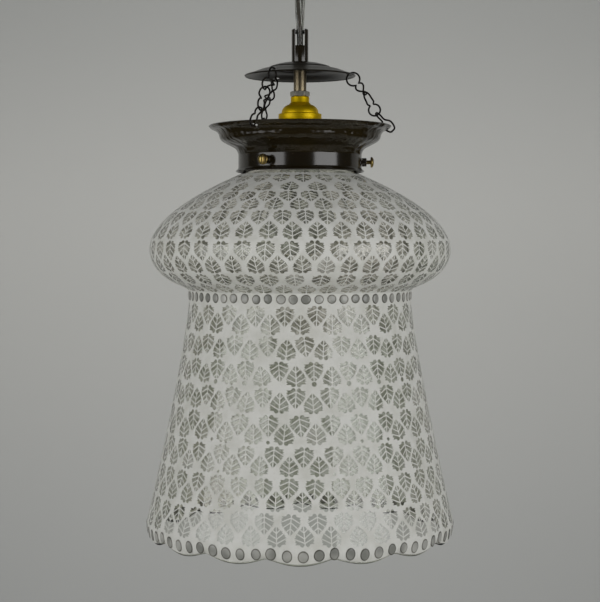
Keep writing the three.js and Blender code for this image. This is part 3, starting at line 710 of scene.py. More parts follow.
CORE_TOP = -113.3
CORE_BOTTOM = -173.1
for core, y, dark, light in (
    ("live", -1.6, (92, 52, 30), (116, 70, 42)),
    ("neutral", 1.6, (40, 62, 110), (56, 82, 134)),
):
    name = f"{core}_core"
    sleeve = cord_run(ring(1.2, 0, y), CORE_TOP, CORE_BOTTOM, False, 16)
    braid = finish(f"{name}_sleeving", sleeving, dark, light)
    piece(f"{name}_sleeve", sleeve, braid, "pendant", "core_sheath", name, sharp=50)


# --------------------------------------
# Chain dish: an inverted saucer spun from thin sheet, with a pressed step round its crown and
# three holes near its rim for the chains. The cord loop screws down on its crown.

CROWN = -125.3
DISH_RIM = -136.5
DISH_HOLE_RADIUS = 41.6
CHAIN_TURNS = (("right", 0), ("back", 120), ("front", -120))
step_top = CROWN - 3.4
dish_line = smooth(
    [(5.75, CROWN), (12.6, CROWN - 0.2), (20.2, CROWN - 1.8), (25.2, step_top)], 14
)
dish_line += [(25.7, step_top - 0.2), (25.95, step_top - 0.9), (26.4, step_top - 1.15)]
dish_line += smooth(
    [
        (30.2, step_top - 1.9), (DISH_HOLE_RADIUS - 7, DISH_RIM + 4.7),
        (DISH_HOLE_RADIUS, DISH_RIM + 2), (46.2, DISH_RIM + 0.7), (47.3, DISH_RIM),
    ],
    22,
)
dull_bronze = finish("dull_dark_bronze", patinated, 0.3)
dish_holes = [
    moved_round(peg(2.9, DISH_RIM - 2, CROWN), turn, DISH_HOLE_RADIUS) for _, turn in CHAIN_TURNS
]
dish = drilled(spun(walled(dish_line, SHEET), 128), *dish_holes)
piece("chain_dish_saucer", dish, dull_bronze, "pendant", "dark_bronze", "chain_dish")


# --------------------------------------
# Lampholder: cap and skirt are pressed from brass sheet under a matt lacquer and clamp a
# porcelain insert between them. A ring nut runs on the skirt's outside.

COLLAR_TOP = -154.4
DOME_TOP = -159.5
DOME_BOTTOM = -168.5
CAP_BOTTOM = -175.5
cap_line = [(5.75, COLLAR_TOP), (7.45, COLLAR_TOP)]
cap_line += arc(7.35, COLLAR_TOP - 0.5, 0.5, 0.5, 80, 0, 3)
cap_line += [(7.85, DOME_TOP + 0.5), (8.1, DOME_TOP), (8.5, DOME_TOP - 0.3)]
cap_line += arc(8.05, DOME_BOTTOM, 7.65, 7.6, 78, 0, 20)
cap_line += [(16.1, DOME_BOTTOM - 0.3), (17.6, DOME_BOTTOM - 0.4)]
cap_line += arc(17.6, DOME_BOTTOM - 1.1, 0.7, 0.7, 80, 0, 4)
cap_line += [(18.3, CAP_BOTTOM + 0.4), (18.1, CAP_BOTTOM), (17.2, CAP_BOTTOM)]
cap_line += [(17.2, -170.1), (14.6, -169.4), (13.1, -165.1), (9.25, -162.9), (5.75, -161.9)]
piece("holder_cap_pressed", spun(cap_line), brass, "pendant", "lacquered_brass", "holder_cap")


def glazed(at):
    look = at.noise(50, 3.0).look((232, 229, 219), (240, 238, 231), 0.18, 0.1)
    return look | {"Coat_Weight": 0.5, "Coat_Roughness": 0.08}


dress("holder_insert", finish("glazed_porcelain", glazed))

SKIRT_TOP = -172.5
SKIRT_MOUTH = -206.5
skirt_line = [(14, SKIRT_TOP), (16.5, SKIRT_TOP), (16.8, SKIRT_TOP - 0.3)]
skirt_line += [(16.8, SKIRT_TOP - 4), (16.8, SKIRT_MOUTH + 2)]
skirt_line += arc(16.8, SKIRT_MOUTH + 1, 0.9, 1, 80, -80, 8) + [(14, SKIRT_MOUTH)]
skirt = spun(skirt_line)
piece("holder_skirt_tube", skirt, brass, "pendant", "lacquered_brass", "holder_skirt")

RING_TOP = -183.5
ring_line = [(17.1, RING_TOP), (20.4, RING_TOP)]
ring_line += arc(20.3, RING_TOP - 0.8, 0.7, 0.7, 80, 0, 4)
ring_line += [(21, RING_TOP - 2), (20.7, RING_TOP - 2.4), (19.4, RING_TOP - 3)]
ring_line += [(19.4, RING_TOP - 6.6), (19, RING_TOP - 7), (17.1, RING_TOP - 7)]
piece("shade_ring_nut", spun(ring_line), brass, "pendant", "lacquered_brass", "shade_ring")


# --------------------------------------
# Bulb: a clear blown bulb on a nickel screw cap, with a glass mount inside that carries two
# lead wires and a coiled tungsten filament.

BULB_CAP_TOP = -177.8
BULB_CAP_BOTTOM = -201.8
BULB_GLASS_TOP = -202.1
BULB_MIDDLE = -260.1
BULB_RADIUS = 30
BULB_THREADS = 3
THREAD_RISE = 6
FILAMENT = -256
FILAMENT_REACH = 11
FILAMENT_COILS = 40


def shell_nickel(at):
    return at.noise(40, 3.0).look((170, 166, 156), (190, 187, 178), 0.24, 0.12, Metallic=1.0)


bulb_cap_line = [(0, BULB_CAP_TOP), (4, BULB_CAP_TOP), (5, BULB_CAP_TOP - 1.2)]
bulb_cap_line += [(10.7, BULB_CAP_TOP - 2.4)]
for i in range(12 * BULB_THREADS + 1):
    z = BULB_CAP_TOP - 3 - THREAD_RISE * i / 12
    bulb_cap_line.append((12.7 + 0.5 * math.sin(2 * math.pi * i / 12 - 1.6), z))
bulb_cap_line += [(12.2, BULB_CAP_BOTTOM + 2), (12.2, BULB_CAP_BOTTOM), (0, BULB_CAP_BOTTOM)]
screw_shell = finish("nickel_screw_shell", shell_nickel)
bulb_cap = spun(bulb_cap_line, 64, False)
piece("bulb_cap_shell", bulb_cap, screw_shell, "bulb", "nickel_shell", "bulb_cap")


def bulb_line(inset):
    """The bulb's outline from its open neck to its lowest point."""
    line = [(13.4 - inset, BULB_GLASS_TOP), (13.8 - inset, BULB_GLASS_TOP - 12)]
    radius = BULB_RADIUS - inset
    neck = (20 - inset, (BULB_GLASS_TOP + BULB_MIDDLE) / 2)
    line += smooth([neck, (27.8 - inset, BULB_MIDDLE + 10), (radius, BULB_MIDDLE)], 12)
    return line + arc(0, BULB_MIDDLE, radius, radius, -6, -90, 16)


def thin_glass(at):
    look = at.noise(30, 2.0).look((238, 240, 238), (246, 247, 245), 0.02)
    return look | {"IOR": 1.1, "Transmission_Weight": 1.0}


bulb_glass = finish("thin_blown_glass", thin_glass)
bulb_outline = bulb_line(0)[:-1]
bulb_outline += [(0, BULB_MIDDLE - BULB_RADIUS), (0, BULB_MIDDLE - BULB_RADIUS + 1)]
bulb_outline += bulb_line(1)[:-1][::-1]
bulb = spun(bulb_outline, 64)
piece("bulb_glass_envelope", bulb, bulb_glass, "bulb", "bulb_glass", "bulb_glass")


def tungsten(at):
    return at.noise(300, 2.0).look((90, 86, 80), (130, 126, 120), 0.35, Metallic=1.0)


def bent_wire(points, radius, cyclic=False, round_sides=3):
    """A wire bent along points in metres, as one closed skin."""
    line = bpy.data.curves.new("wire", "CURVE")
    line.dimensions = "3D"
    line.bevel_depth = radius
    line.bevel_resolution = round_sides
    line.use_fill_caps = not cyclic
    strand = line.splines.new("POLY")
    strand.points.add(len(points) - 1)
    for point, place in zip(strand.points, points):
        point.co = (*place, 1)
    strand.use_cyclic_u = cyclic
    pattern = placed("wire", line)
    shape = bmesh.new()
    shape.from_mesh(bpy.data.meshes.new_from_object(pattern))
    bpy.data.objects.remove(pattern)
    bmesh.ops.remove_doubles(shape, verts=shape.verts, dist=1e-7)
    return shape


wire_metal = finish("tungsten_wire", tungsten)
mount = [(0, -204), (2.6, -206), (3, -220), (1.6, -236)]
mount += [(1.2, -252), (1.9, -254), (0, FILAMENT)]
piece("bulb_glass_mount", spun(mount, 24, False), bulb_glass, "bulb", "bulb_glass", sharp=60)
for side, way in (("left", -1), ("right", 1)):
    lead = smooth([(2.2, -206), (3.4, -222), (7, -240), (FILAMENT_REACH, FILAMENT)], 14)
    lead = [(way * x * MM, 0, z * MM) for x, z in lead]
    wire = bent_wire(lead, 0.3 * MM, False, 1)
    piece(f"bulb_lead_{side}", wire, wire_metal, "bulb", "nickel_shell")
coil = []
for i in range(4 * FILAMENT_COILS + 1):
    share = i / (4 * FILAMENT_COILS)
    x = -FILAMENT_REACH + 2 * FILAMENT_REACH * share
    sag = FILAMENT - 5 * math.sin(math.pi * share)
    a = 2 * math.pi * FILAMENT_COILS * share
    coil.append((x * MM, 0.7 * math.cos(a) * MM, (sag + 0.7 * math.sin(a)) * MM))
filament = bent_wire(coil, 0.13 * MM, False, 0)
piece("bulb_filament_coil", filament, wire_metal, "bulb", "nickel_shell")


# --------------------------------------
# Gallery: a ring pressed and spun from sheet in the same dark bronze, with a flared lip that
# the chain hooks pass, a cove down to a straight band, and a foot turned out over the glass.

RIM = -179.7
FOOT = -217.6
BAND = 52.4
SCREW = -210.0
RIM_HOLE_RADIUS = 72.7
gallery_line = smooth(
    [
        (77.6, RIM), (75.4, RIM - 2.2), (71.4, RIM - 4), (69, RIM - 6.8), (68, RIM - 10.4),
        (65.6, RIM - 13), (BAND + 8, RIM - 15.8), (BAND + 2.4, RIM - 19), (BAND, RIM - 23.4),
    ],
    56,
)
gallery_line += [(BAND, RIM - 24.4), (BAND, FOOT + 3.4)]
gallery_line += smooth([(BAND, FOOT + 3), (BAND + 0.4, FOOT + 1.8), (BAND + 2.3, FOOT)], 6)


def pressed_bronze(at):
    """The same patina, thinner, over a lip and cove that pressing left slightly wavy."""
    look = patinated(at, 0.12)
    look["Base_Color"] = at.noise(24, 4.0).blend(linear(12, 9, 3), linear(38, 30, 9))
    look["Specular_IOR_Level"] = 0.4
    wavy = at.height().between(-0.206, -0.2) * at.noise(70, 2.0)
    look["Normal"] = wavy.bump(0.9, 0.003)
    return look


lip_bronze = finish("pressed_dark_bronze", pressed_bronze)
COVE_BOTTOM = RIM - 25
SCREW_HOLE = 2.15
gallery_tools = []
for _, turn in CHAIN_TURNS:
    gallery_tools.append(moved_round(peg(2.6, RIM - 8, RIM + 2), turn, RIM_HOLE_RADIUS))
    gallery_tools.append(laid(peg(SCREW_HOLE, BAND - 4, BAND + 3), SCREW, turn))
gallery = drilled(spun(walled(gallery_line, SHEET), 160), *gallery_tools)
for face in gallery.faces:
    face.material_index = int(face.calc_center_median().z > COVE_BOTTOM * MM)
gallery_ring = piece("gallery_ring", gallery, dark_bronze, "shade", "dark_bronze", "gallery")
gallery_ring.data.materials.append(lip_bronze)


# --------------------------------------
# Three thumb screws: a threaded boss is soldered on the band, and a turned brass screw with a
# domed, slotted head goes through it and bears on the glass neck.

BOSS_FOOT = BAND + 0.3
BOSS_HEIGHT = 3.8
HEAD_GAP = 3.4
HEAD = BOSS_FOOT + BOSS_HEIGHT + HEAD_GAP
TIP = 47.3
SCREW_THREADS = 18
screw_line = [(0, TIP), (1.4, TIP)]
for i in range(SCREW_THREADS):
    at = TIP + 0.6 + (HEAD - TIP - 0.6) * i / SCREW_THREADS
    screw_line += [(1.8, at), (1.62, at + 0.34)]
screw_line += [(1.8, HEAD - 0.3), (2.2, HEAD), (4.3, HEAD + 0.1), (4.55, HEAD + 0.4)]
screw_line += arc(0, HEAD + 1, 4.55, 1.9, 4, 84, 10) + [(0, HEAD + 2.9)]
boss_line = [(SCREW_HOLE, BAND - 0.4), (3.6, BAND - 0.4), (3.6, BAND + 3.7)]
boss_line += arc(3.2, BAND + 3.7, 0.4, 0.4, 0, 90, 4) + [(SCREW_HOLE, BAND + 4.1)]


def screw_brass(at):
    tarnish = at.noise(120, 4.0).between(0.35, 0.65)
    return tarnish.look((178, 158, 96), (112, 92, 56), 0.24, 0.14, Metallic=1.0)


screw_metal = finish("turned_brass", screw_brass)
for side, turn in CHAIN_TURNS:
    groove = moved_round(block(1.9, 1, SCREW - 6, SCREW + 6, HEAD + 2.9), turn)
    screw = drilled(laid(spun(screw_line, 40, False), SCREW, turn), groove)
    name = f"thumb_screw_{side}"
    piece(f"{name}_turned", screw, screw_metal, name, "lacquered_brass", name)
    band = peg(BOSS_FOOT, SCREW - 6, SCREW + 6, 160)
    boss = drilled(laid(spun(boss_line, 40), SCREW, turn), band)
    name = f"screw_boss_{side}"
    piece(f"{name}_turned", boss, dark_bronze, "shade", "dark_bronze", name)


# --------------------------------------
# Three chains of bent steel wire, blackened: each has two twisted figure-8 links, the upper one
# through the dish, and a twisted hook whose lower loop passes through the gallery's lip.

def blackened(at):
    rub = at.noise(260, 4.0).between(0.5, 0.75)
    normal = at.noise(500, 3.0).bump(0.12, 0.0002)
    return rub.look((24, 21, 19), (60, 52, 44), 0.36, 0.16, Metallic=0.8, Normal=normal)


dark_wire = finish("blackened_wire", blackened)

WIRE_RADIUS = 0.78
PASS = 1.9  # how far a link's end reaches past its neighbour's
LINK_WAIST = 1.8
TOP_LINK_LENGTH = 22.4
TOP_LINK_ROUND = 11.1
MIDDLE_LINK_ROUND = 9.8
HOOK_LENGTH = 20.5
HOOK_REACH = 15.9  # along its line, from its upper end to the rim's hole
HOOK_TOP_WIDTH = 5.4
HOOK_WIDTH = 8.6


def sloping(degrees):
    """The way out and down at a slope, in the chain's upright plane."""
    a = math.radians(degrees)
    return Vector((math.cos(a), 0, -math.sin(a)))


def across_at(along, degrees):
    """The direction across a link, turned on the link's line from the chain's upright plane."""
    a = math.radians(degrees)
    return Vector((-along.z, 0, along.x)) * math.cos(a) + Vector((0, math.sin(a), 0))


def link_line(start, along, length, width, turn, bluntness, steps):
    """The centre line of a bent wire link, from its near end along one way and across it."""
    points = []
    for i in range(steps):
        share = 2 * math.pi * i / steps
        way = (1 - math.cos(share)) / 2
        side = math.copysign(abs(math.sin(share)) ** bluntness, math.sin(share))
        points.append(
            start + along * length * way + across_at(along, turn(way)) * side * width(way) / 2
        )
    return points


def eight_link(start, along, near, near_width, far, far_width, turn):
    """Two loops, each as long and as wide as given, with a narrow waist between them."""
    length = near + far

    def width(way):
        near_room = max(0, near - way * length) / max(1 - way, 0.01)
        far_room = max(0, far - (1 - way) * length) / max(way, 0.01)
        near_loop = near_width / near * math.sqrt(length * near_room)
        far_loop = far_width / far * math.sqrt(length * far_room)
        return math.hypot(near_loop, far_loop, LINK_WAIST)

    return link_line(start, along, length, width, turn, 1, 96)


def hook_width(way):
    """The hook's width: a small upper loop, a waist and a wide lower loop."""
    wide = HOOK_TOP_WIDTH + (HOOK_WIDTH - HOOK_TOP_WIDTH) * eased(way, 0.3, 0.75)
    return wide * (1 - 0.5 * math.exp(-(((way - 0.42) / 0.13) ** 2)))


dish_hole = Vector((DISH_HOLE_RADIUS, 0, DISH_RIM + 1.45))
top_way = sloping(50)
top_end = dish_hole + top_way * TOP_LINK_LENGTH
hook_way = sloping(46)
rim_hole = Vector((RIM_HOLE_RADIUS, 0, RIM - 2.9))
hook_top = rim_hole + across_at(hook_way, 0) * HOOK_WIDTH / 2 - hook_way * HOOK_REACH
middle_way = (hook_top - top_end).normalized()
middle_length = (hook_top - top_end).length + 2 * PASS
chain_lines = {
    "top_link": eight_link(
        dish_hole,
        top_way,
        TOP_LINK_ROUND,
        TOP_LINK_ROUND,
        TOP_LINK_LENGTH - TOP_LINK_ROUND,
        9.8,
        lambda way: -140 * (max(0, way - 0.3) / 0.7) ** 1.6,
    ),
    "middle_link": eight_link(
        top_end - middle_way * PASS,
        middle_way,
        middle_length - MIDDLE_LINK_ROUND,
        8.4,
        MIDDLE_LINK_ROUND,
        MIDDLE_LINK_ROUND,
        lambda way: -57 * (1 - eased(way, 0.3, 0.68)),
    ),
    "hook": link_line(
        hook_top,
        hook_way,
        HOOK_LENGTH,
        hook_width,
        lambda way: -63 * (1 - eased(way, 0.25, 0.62)),
        0.5,
        88,
    ),
}
for side, turn in CHAIN_TURNS:
    around = Matrix.Rotation(math.radians(turn), 3, "Z")
    for link, line in chain_lines.items():
        points = [around @ point * MM for point in line]
        wire = bent_wire(points, WIRE_RADIUS * MM, True)
        name = f"{side}_chain_{link}"
        piece(f"{name}_wire", wire, dark_wire, f"{side}_chain", "dark_wire", name, sharp=80)


# --------------------------------------
# Glass shade: mouth-blown clear soda glass, faintly grey and yellow. A lipped neck sits inside
# the gallery; below are a wide bulge, a narrow waist and a flared body whose hem was rolled
# out and cut in fifteen scallops while hot.

BULGE_RADIUS = 127.5
BULGE_RISE = 62.7  # from the widest line up to where the neck begins
BULGE_SPAN = 83.2  # from the widest line up to where the bulge's curve would meet the axis
WAIST_RADIUS = 94.1
WIDEST = FOOT - 66.5
WAIST = WIDEST - 35.5
BODY_TOP = WAIST - 7
BODY_FLARE = 33.4
BODY_HEIGHT = 177
HEM_TOP = BODY_TOP - BODY_HEIGHT
HEM_MIDDLE = HEM_TOP - 11.5
HEM_REACH = 14.3
GLASS = 3
SCALLOPS = 15
SCALLOP_RISE = 5.3

wall_line = [(47, FOOT + 2), (49.4, FOOT - 1.5)]
for i in range(31):
    above = BULGE_RISE * (30 - i) / 30
    wall_line.append((BULGE_RADIUS * (1 - (above / BULGE_SPAN) ** 1.935), WIDEST + above))
wall_line += arc(BULGE_RADIUS - 50, WIDEST, 50, 34.5, -3, -65, 22)
wall_line += [(WAIST_RADIUS + 0.5, WAIST + 1.4), (WAIST_RADIUS, WAIST)]
for i in range(33):
    down = i / 32
    wall_line.append((WAIST_RADIUS + BODY_FLARE * down ** 1.22, BODY_TOP - BODY_HEIGHT * down))
hem_line = arc(120.3, HEM_MIDDLE, 9.3, HEM_REACH, 30, -50, 16)
wall_line += hem_line
outer_line = inwards(wall_line, 0.35)
LIP = hem_line[-1][1]
SCALLOP_TOP = HEM_MIDDLE + HEM_REACH * math.sin(math.radians(10))


def scalloped(turn, z):
    """How far in mm the hem is raised, at a turn in radians from the front and a height."""
    share = (SCALLOP_TOP - z) / (SCALLOP_TOP - LIP)
    if share <= 0:
        return 0
    crest = math.sqrt(math.cos(turn * SCALLOPS / 2) ** 2 + 0.004)
    return SCALLOP_RISE * (1 - min(1, crest)) * share


neck_line = [(44.3, -201), (48, -201), (49, -202), (49, -205), (47.1, -206), (46.8, -207)]
inner_line = inwards(wall_line, GLASS)[::-1]
lip_round = [(outer_line[-1][0] - 1.2, LIP - 0.55), (inner_line[0][0] - 0.2, LIP + 0.4)]
shade = spun(neck_line + outer_line + lip_round + inner_line + [(44, -214)], 300)
for vert in shade.verts:
    x, y, z = vert.co
    vert.co.z += scalloped(math.atan2(x, -y), z / MM) * MM


def soda_glass(at):
    look = at.noise(7, 2.0).between(0.35, 0.65).look((240, 242, 236), (243, 241, 236), 0.03)
    normal = at.noise(9, 3.0).bump(0.25, 0.002)
    return look | {"IOR": 1.5, "Transmission_Weight": 1.0, "Normal": normal}


def lets_lamps_through(made):
    """Lamps shine through a blown wall as through a thin pane."""
    at = Shade(made.node_tree)
    bent = Shade(at.tree, at.tree.nodes["Principled BSDF"].outputs[0])
    pane = at.node("ShaderNodeBsdfTransparent", None, {0: (0.93, 0.94, 0.92, 1)})
    lit = at.node("ShaderNodeLightPath", output=1)
    both = at.node("ShaderNodeMixShader", None, {0: lit, 1: bent, 2: pane})
    at.tree.links.new(both.socket, at.tree.nodes["Material Output"].inputs[0])
    return made


shade_glass = lets_lamps_through(finish("clear_soda_glass", soda_glass))
piece("glass_shade_blown", shade, shade_glass, "shade", "shade_glass", "glass_shade", sharp=60)


# --------------------------------------
# The white coat: a thin matt enamel fired on the outside of the glass through a leaf stencil.
# In each band the leaves point down and up in turn, and each leaf is eight clear windows, four
# on each side of a white rib. It is laid out flat, cell by cell, and wrapped on the glass.

line_r = np.array([r for r, _ in outer_line])
line_z = np.array([z for _, z in outer_line])
line_run = np.concatenate([[0], np.cumsum(np.hypot(np.diff(line_r), np.diff(line_z)))])
slope_r, slope_z = np.gradient(line_r), np.gradient(line_z)
slope = np.hypot(slope_r, slope_z)
COAT_LIFT = 0.22


def radius_at(run):
    """The glass's radius at a run down its line from the neck, in mm."""
    return float(np.interp(run, line_run, line_r))


def on_glass(turn, run, lift=COAT_LIFT):
    """The point on the glass at a turn from the front and a run down its line, lifted off it."""
    r = radius_at(run) - lift * float(np.interp(run, line_run, slope_z / slope))
    z = float(np.interp(run, line_run, line_z))
    z += lift * float(np.interp(run, line_run, slope_r / slope))
    z += scalloped(turn, z)
    return Vector((r * math.sin(turn) * MM, -r * math.cos(turn) * MM, z * MM))


# One half of a leaf, tip up, as four windows in mm; the other half is its mirror image
LEAF_HALF = (
    ((0.4, 3.75), (2.9, 5.9), (1.7, 6.2), (1.8, 7.2), (0.8, 7.5), (0.4, 8.5)),
    (
        (0.4, -0.95), (5.8, 2.9), (4.4, 3.3), (5.2, 4.3), (3.6, 4.4), (3.9, 5.5), (0.4, 2.65),
    ),
    (
        (0.4, -4.6), (8.3, -0.85), (6.7, 0.0), (7.7, 1.0), (6.2, 1.1), (6.7, 2.5), (0.4, -1.9),
    ),
    (
        (0.4, -6.8), (1.3, -7.9), (2.4, -8.2), (3.5, -7.7), (4.1, -6.3), (6.0, -6.2),
        (8.0, -6.0), (6.4, -4.9), (8.0, -3.9), (6.8, -2.9), (9.2, -1.35), (0.4, -5.6),
    ),
)
# Heights on a leaf, and half the width that its cell needs there
LEAF_WIDTHS = (
    (-9.0, -8.2, -7.6, -6.4, -3.6, -2.6, -1.4, -0.5, 1.0, 2.4, 3.2, 4.3, 5.3, 6.0, 7.3, 8.6, 9.2),
    (0, 3.2, 4.7, 8.3, 8.3, 8.4, 9.3, 9.0, 8.1, 7.1, 6.0, 5.3, 4.3, 3.3, 2.0, 0.9, 0),
)


def leaf_windows(size, tip_down, lean):
    """The eight windows of one leaf, as loops of points."""
    turn = lean + (math.pi if tip_down else 0)
    c, s = math.cos(turn) * size, math.sin(turn) * size
    for half in LEAF_HALF:
        for side in (1, -1):
            yield [(side * x * c - y * s, side * x * s + y * c) for x, y in half]


def leaf_width(height, size):
    """Half the width in mm of a leaf of a size, at a height on it."""
    return size * float(np.interp(height / size, *LEAF_WIDTHS))


LEAF_FOOT = 8.1  # from a leaf's middle down to its lower end
BAND_EDGE = 0.35  # the least white between a leaf and its band's edge
LEAN = 4.4  # degrees
PAINTED_PALE_SHARE = 0.04  # the share of leaves whose windows get a painted pale film, standing in for windows lit up by reflections
LONG_EDGE = 7.5
chance = random.Random(7)


def join(shape, part):
    """A bmesh goes into another."""
    mesh = mesh_of("part", part)
    shape.from_mesh(mesh)
    bpy.data.meshes.remove(mesh)


def coat_cell(shape, border, windows, middle_turn, middle_run, painted_pale=False):
    """One flat cell of coat with its windows open, wrapped on the glass round its middle."""
    cell = bmesh.new()
    loops = []
    edges = []
    for loop in [border, *windows]:
        verts = [cell.verts.new((x, y, 0)) for x, y in loop]
        edges += [cell.edges.new(pair) for pair in zip(verts, verts[1:] + verts[:1])]
        loops.append(verts)
    filled = bmesh.ops.triangle_fill(
        cell, use_beauty=True, use_dissolve=False, edges=edges, normal=(0, 0, 1)
    )
    inner = {e for f in parts_of(filled["geom"], bmesh.types.BMFace) for e in f.edges}
    # Painted brightness: the windows of a few leaves are filled with a pale, half-clear film,
    # standing in for windows lit up by reflections.
    for verts in loops[1:] if painted_pale else []:
        face = cell.faces.new(verts)
        face.material_index = 1
        face.normal_update()
        if face.normal.z < 0:
            face.normal_flip()
    long = [e for e in inner - set(edges) if e.calc_length() > LONG_EDGE]
    if long:
        bmesh.ops.subdivide_edges(cell, edges=long, cuts=1, use_grid_fill=False)
    for vert in cell.verts:
        x, y, _ = vert.co
        run = middle_run - y
        vert.co = on_glass(middle_turn + x / radius_at(run), run)
    join(shape, cell)


def edge_points(start, stop, longest=5.0):
    """Points from one corner up to the next, the last left out."""
    steps = max(1, math.ceil(math.dist(start, stop) / longest))
    return [tuple(a + (b - a) * i / steps for a, b in zip(start, stop)) for i in range(steps)]


def leaf_band(shape, top, bottom, pairs, front_turn, size, dots=0.0):
    """
    A band of leaves round the glass, tip down and tip up in turn, with as many pairs as given,
    the first leaf so many degrees from the front. dots is the share of the tips with a small
    round window below them.
    """
    tall = bottom - top
    down_at = LEAF_FOOT * size + 0.5
    up_at = tall - down_at
    rows = 8
    pitch = 2 * math.pi / pairs
    depths = [tall * i / rows for i in range(rows + 1)]

    def half(depth, tip_down):
        """Half the width in mm of a cell at a depth below the band's top."""
        quarter = pitch * radius_at(top + depth) / 4
        down = leaf_width(depth - down_at, size)
        up = leaf_width(up_at - depth, size)
        shift = max(0.6 - quarter, min(quarter - 0.6, (down - up) / 2))
        return quarter + (shift if tip_down else -shift)

    for i in range(2 * pairs):
        tip_down = i % 2 == 0
        middle = down_at if tip_down else up_at
        middle_turn = math.radians(front_turn) + pitch * i / 2
        right = [(half(d, tip_down), middle - d) for d in depths]
        left = [(-x, y) for x, y in right]
        border = edge_points(left[0], right[0]) + right[:-1]
        border += edge_points(right[-1], left[-1]) + left[:0:-1]
        lean = math.radians(chance.gauss(0, LEAN))
        slip = chance.gauss(0, 0.3), chance.gauss(0, 0.25)
        scale = size * chance.uniform(0.96, 1.03)
        windows = []
        for loop in leaf_windows(scale, tip_down, lean):
            window = []
            for x, y in loop:
                y = max(middle - tall + BAND_EDGE, min(middle - BAND_EDGE, y + slip[1]))
                room = float(np.interp(middle - y, depths, [x for x, _ in right])) - 0.2
                x += slip[0]
                window.append((x / (1 + abs(x / room) ** 8) ** (1 / 8), y))
            windows.append(window)
        if tip_down and chance.random() < dots:
            low = middle - tall + 2.5
            room = min(x for x, y in right if y < low + 3) - 0.5
            spot = min(2.0, room)
            clear = low + spot + 0.6
            windows = [[(x, max(y, clear)) for x, y in window] for window in windows]
            windows.append(ring(spot, 0, low, 10))
        # A few leaves at random take the painted pale film.
        painted_pale = chance.random() < PAINTED_PALE_SHARE
        coat_cell(shape, border, windows, middle_turn, top + middle, painted_pale)


def ring_band(shape, top, bottom, count, front_turn, wide, high, sides):
    """A band of round or oval windows, one for each glass dot or bead; gives their places."""
    pitch = 2 * math.pi / count
    middle = (bottom - top) / 2
    places = []
    for i in range(count):
        turn = math.radians(front_turn) + pitch * i
        high_x, low_x = (pitch * radius_at(run) / 2 for run in (top, bottom))
        corners = [(-high_x, middle), (high_x, middle), (low_x, -middle), (-low_x, -middle)]
        border = []
        for start, stop in zip(corners, corners[1:] + corners[:1]):
            border += edge_points(start, stop, 4)
        w = wide / 2 * chance.uniform(0.88, 1.06)
        h = high / 2 * chance.uniform(0.92, 1.05)
        slip = chance.uniform(-0.4, 0.4), chance.uniform(-0.3, 0.3)
        coat_cell(shape, border, [ring(w, *slip, sides, h)], turn, top + middle)
        places.append((turn, top + middle, slip, w, h))
    return places


def crest_band(shape, top, bottom, count, front_turn):
    """The coat's upper edge, a row of small scallops."""
    pitch = 2 * math.pi / count
    tall = bottom - top
    for i in range(count):
        half = pitch * radius_at(bottom) / 2
        arch = [math.pi * k / 6 for k in range(7)]
        border = [(half * math.cos(a), -tall / 2 + tall * math.sin(a) ** 0.6) for a in arch]
        turn = math.radians(front_turn) + pitch * i
        coat_cell(shape, border, [], turn, top + tall / 2)


def plain_band(shape, top, bottom, sides):
    """A band of the coat with no windows."""
    line = [shape.verts.new(on_glass(0, run)) for run in (top, bottom)]
    turn_round(shape, line + [shape.edges.new(line)], sides)
    for face in shape.faces:
        face.normal_update()
        if face.normal.dot(face.calc_center_median() - Vector((0, 0, -0.3))) < 0:
            face.normal_flip()


def enamel(at):
    cloud = at.noise(14, 4.0)
    speck = at.noise(520, 3.0)
    thin = at.noise(70, 4.0).between(0.3, 0.62)
    tone = thin.blend(linear(182, 182, 175), linear(193, 193, 188))
    return {
        "Base_Color": (speck.between(0.55, 0.8) * 0.3).blend(tone, linear(164, 162, 152)),
        "Roughness": 0.55 + 0.2 * cloud,
        "Normal": speck.bump(0.25, 0.0003),
    }


# Painted brightness: a pale, half-clear film for a few leaves' windows, standing in for the
# lighter look that reflections give them.
def painted_pale_fill(at):
    cloud = at.noise(160, 4.0)
    left = 0.25 + 0.4 * cloud.between(0.3, 0.7)
    normal = cloud.bump(0.2, 0.0003)
    return cloud.look((166, 166, 158), (182, 182, 176), 0.6, Alpha=left, Normal=normal)


white_enamel = finish("white_enamel", enamel)
pale_window_paint = finish("painted_pale_window_fill", painted_pale_fill)


def coat(name, *bands):
    """One piece of the coat, from the bands that it is made of; gives its round windows."""
    whole = bmesh.new()
    places = []
    for make, *sizes in bands:
        band = bmesh.new()
        places += make(band, *sizes) or []
        join(whole, band)
    bmesh.ops.remove_doubles(whole, verts=whole.verts, dist=2e-6)
    made = piece(name, whole, white_enamel, "shade", "shade_glass", sharp=60)
    made.data.materials.append(pale_window_paint)
    return places


coat(
    "white_coat_bulge",
    (crest_band, 7.2, 9.6, 88, 2.2),
    (plain_band, 9.6, 11.0, 88),
    (leaf_band, 11.0, 43.4, 22, 2.2, 1.0),
    (leaf_band, 43.4, 71.6, 33, -6.0, 0.99),
    (leaf_band, 71.6, 101.6, 40, 1.9, 1.0),
    (leaf_band, 101.6, 130.0, 42, -3.4, 0.98),
    (leaf_band, 130.0, 160.4, 36, -1.9, 1.0),
)
dot_places = coat("white_coat_waist", (ring_band, 160.4, 169.8, 58, 3.0, 7.8, 8.0, 20))
coat(
    "white_coat_body_high",
    (leaf_band, 169.8, 193.8, 24, 8.1, 1.02),
    (leaf_band, 193.8, 213.6, 21, 2.3, 1.0),
    (leaf_band, 213.6, 234.2, 23, 6.2, 1.0, 0.85),
    (leaf_band, 234.2, 255.2, 25, -1.7, 1.0),
)
coat(
    "white_coat_body_low",
    (leaf_band, 255.2, 279.8, 28, 0.0, 1.03, 0.35),
    (leaf_band, 279.8, 304.2, 31, 1.6, 1.0, 0.12),
    (leaf_band, 304.2, 330.8, 37, -4.1, 0.99),
    (leaf_band, 330.8, 357.6, 38, -3.2, 0.99),
)
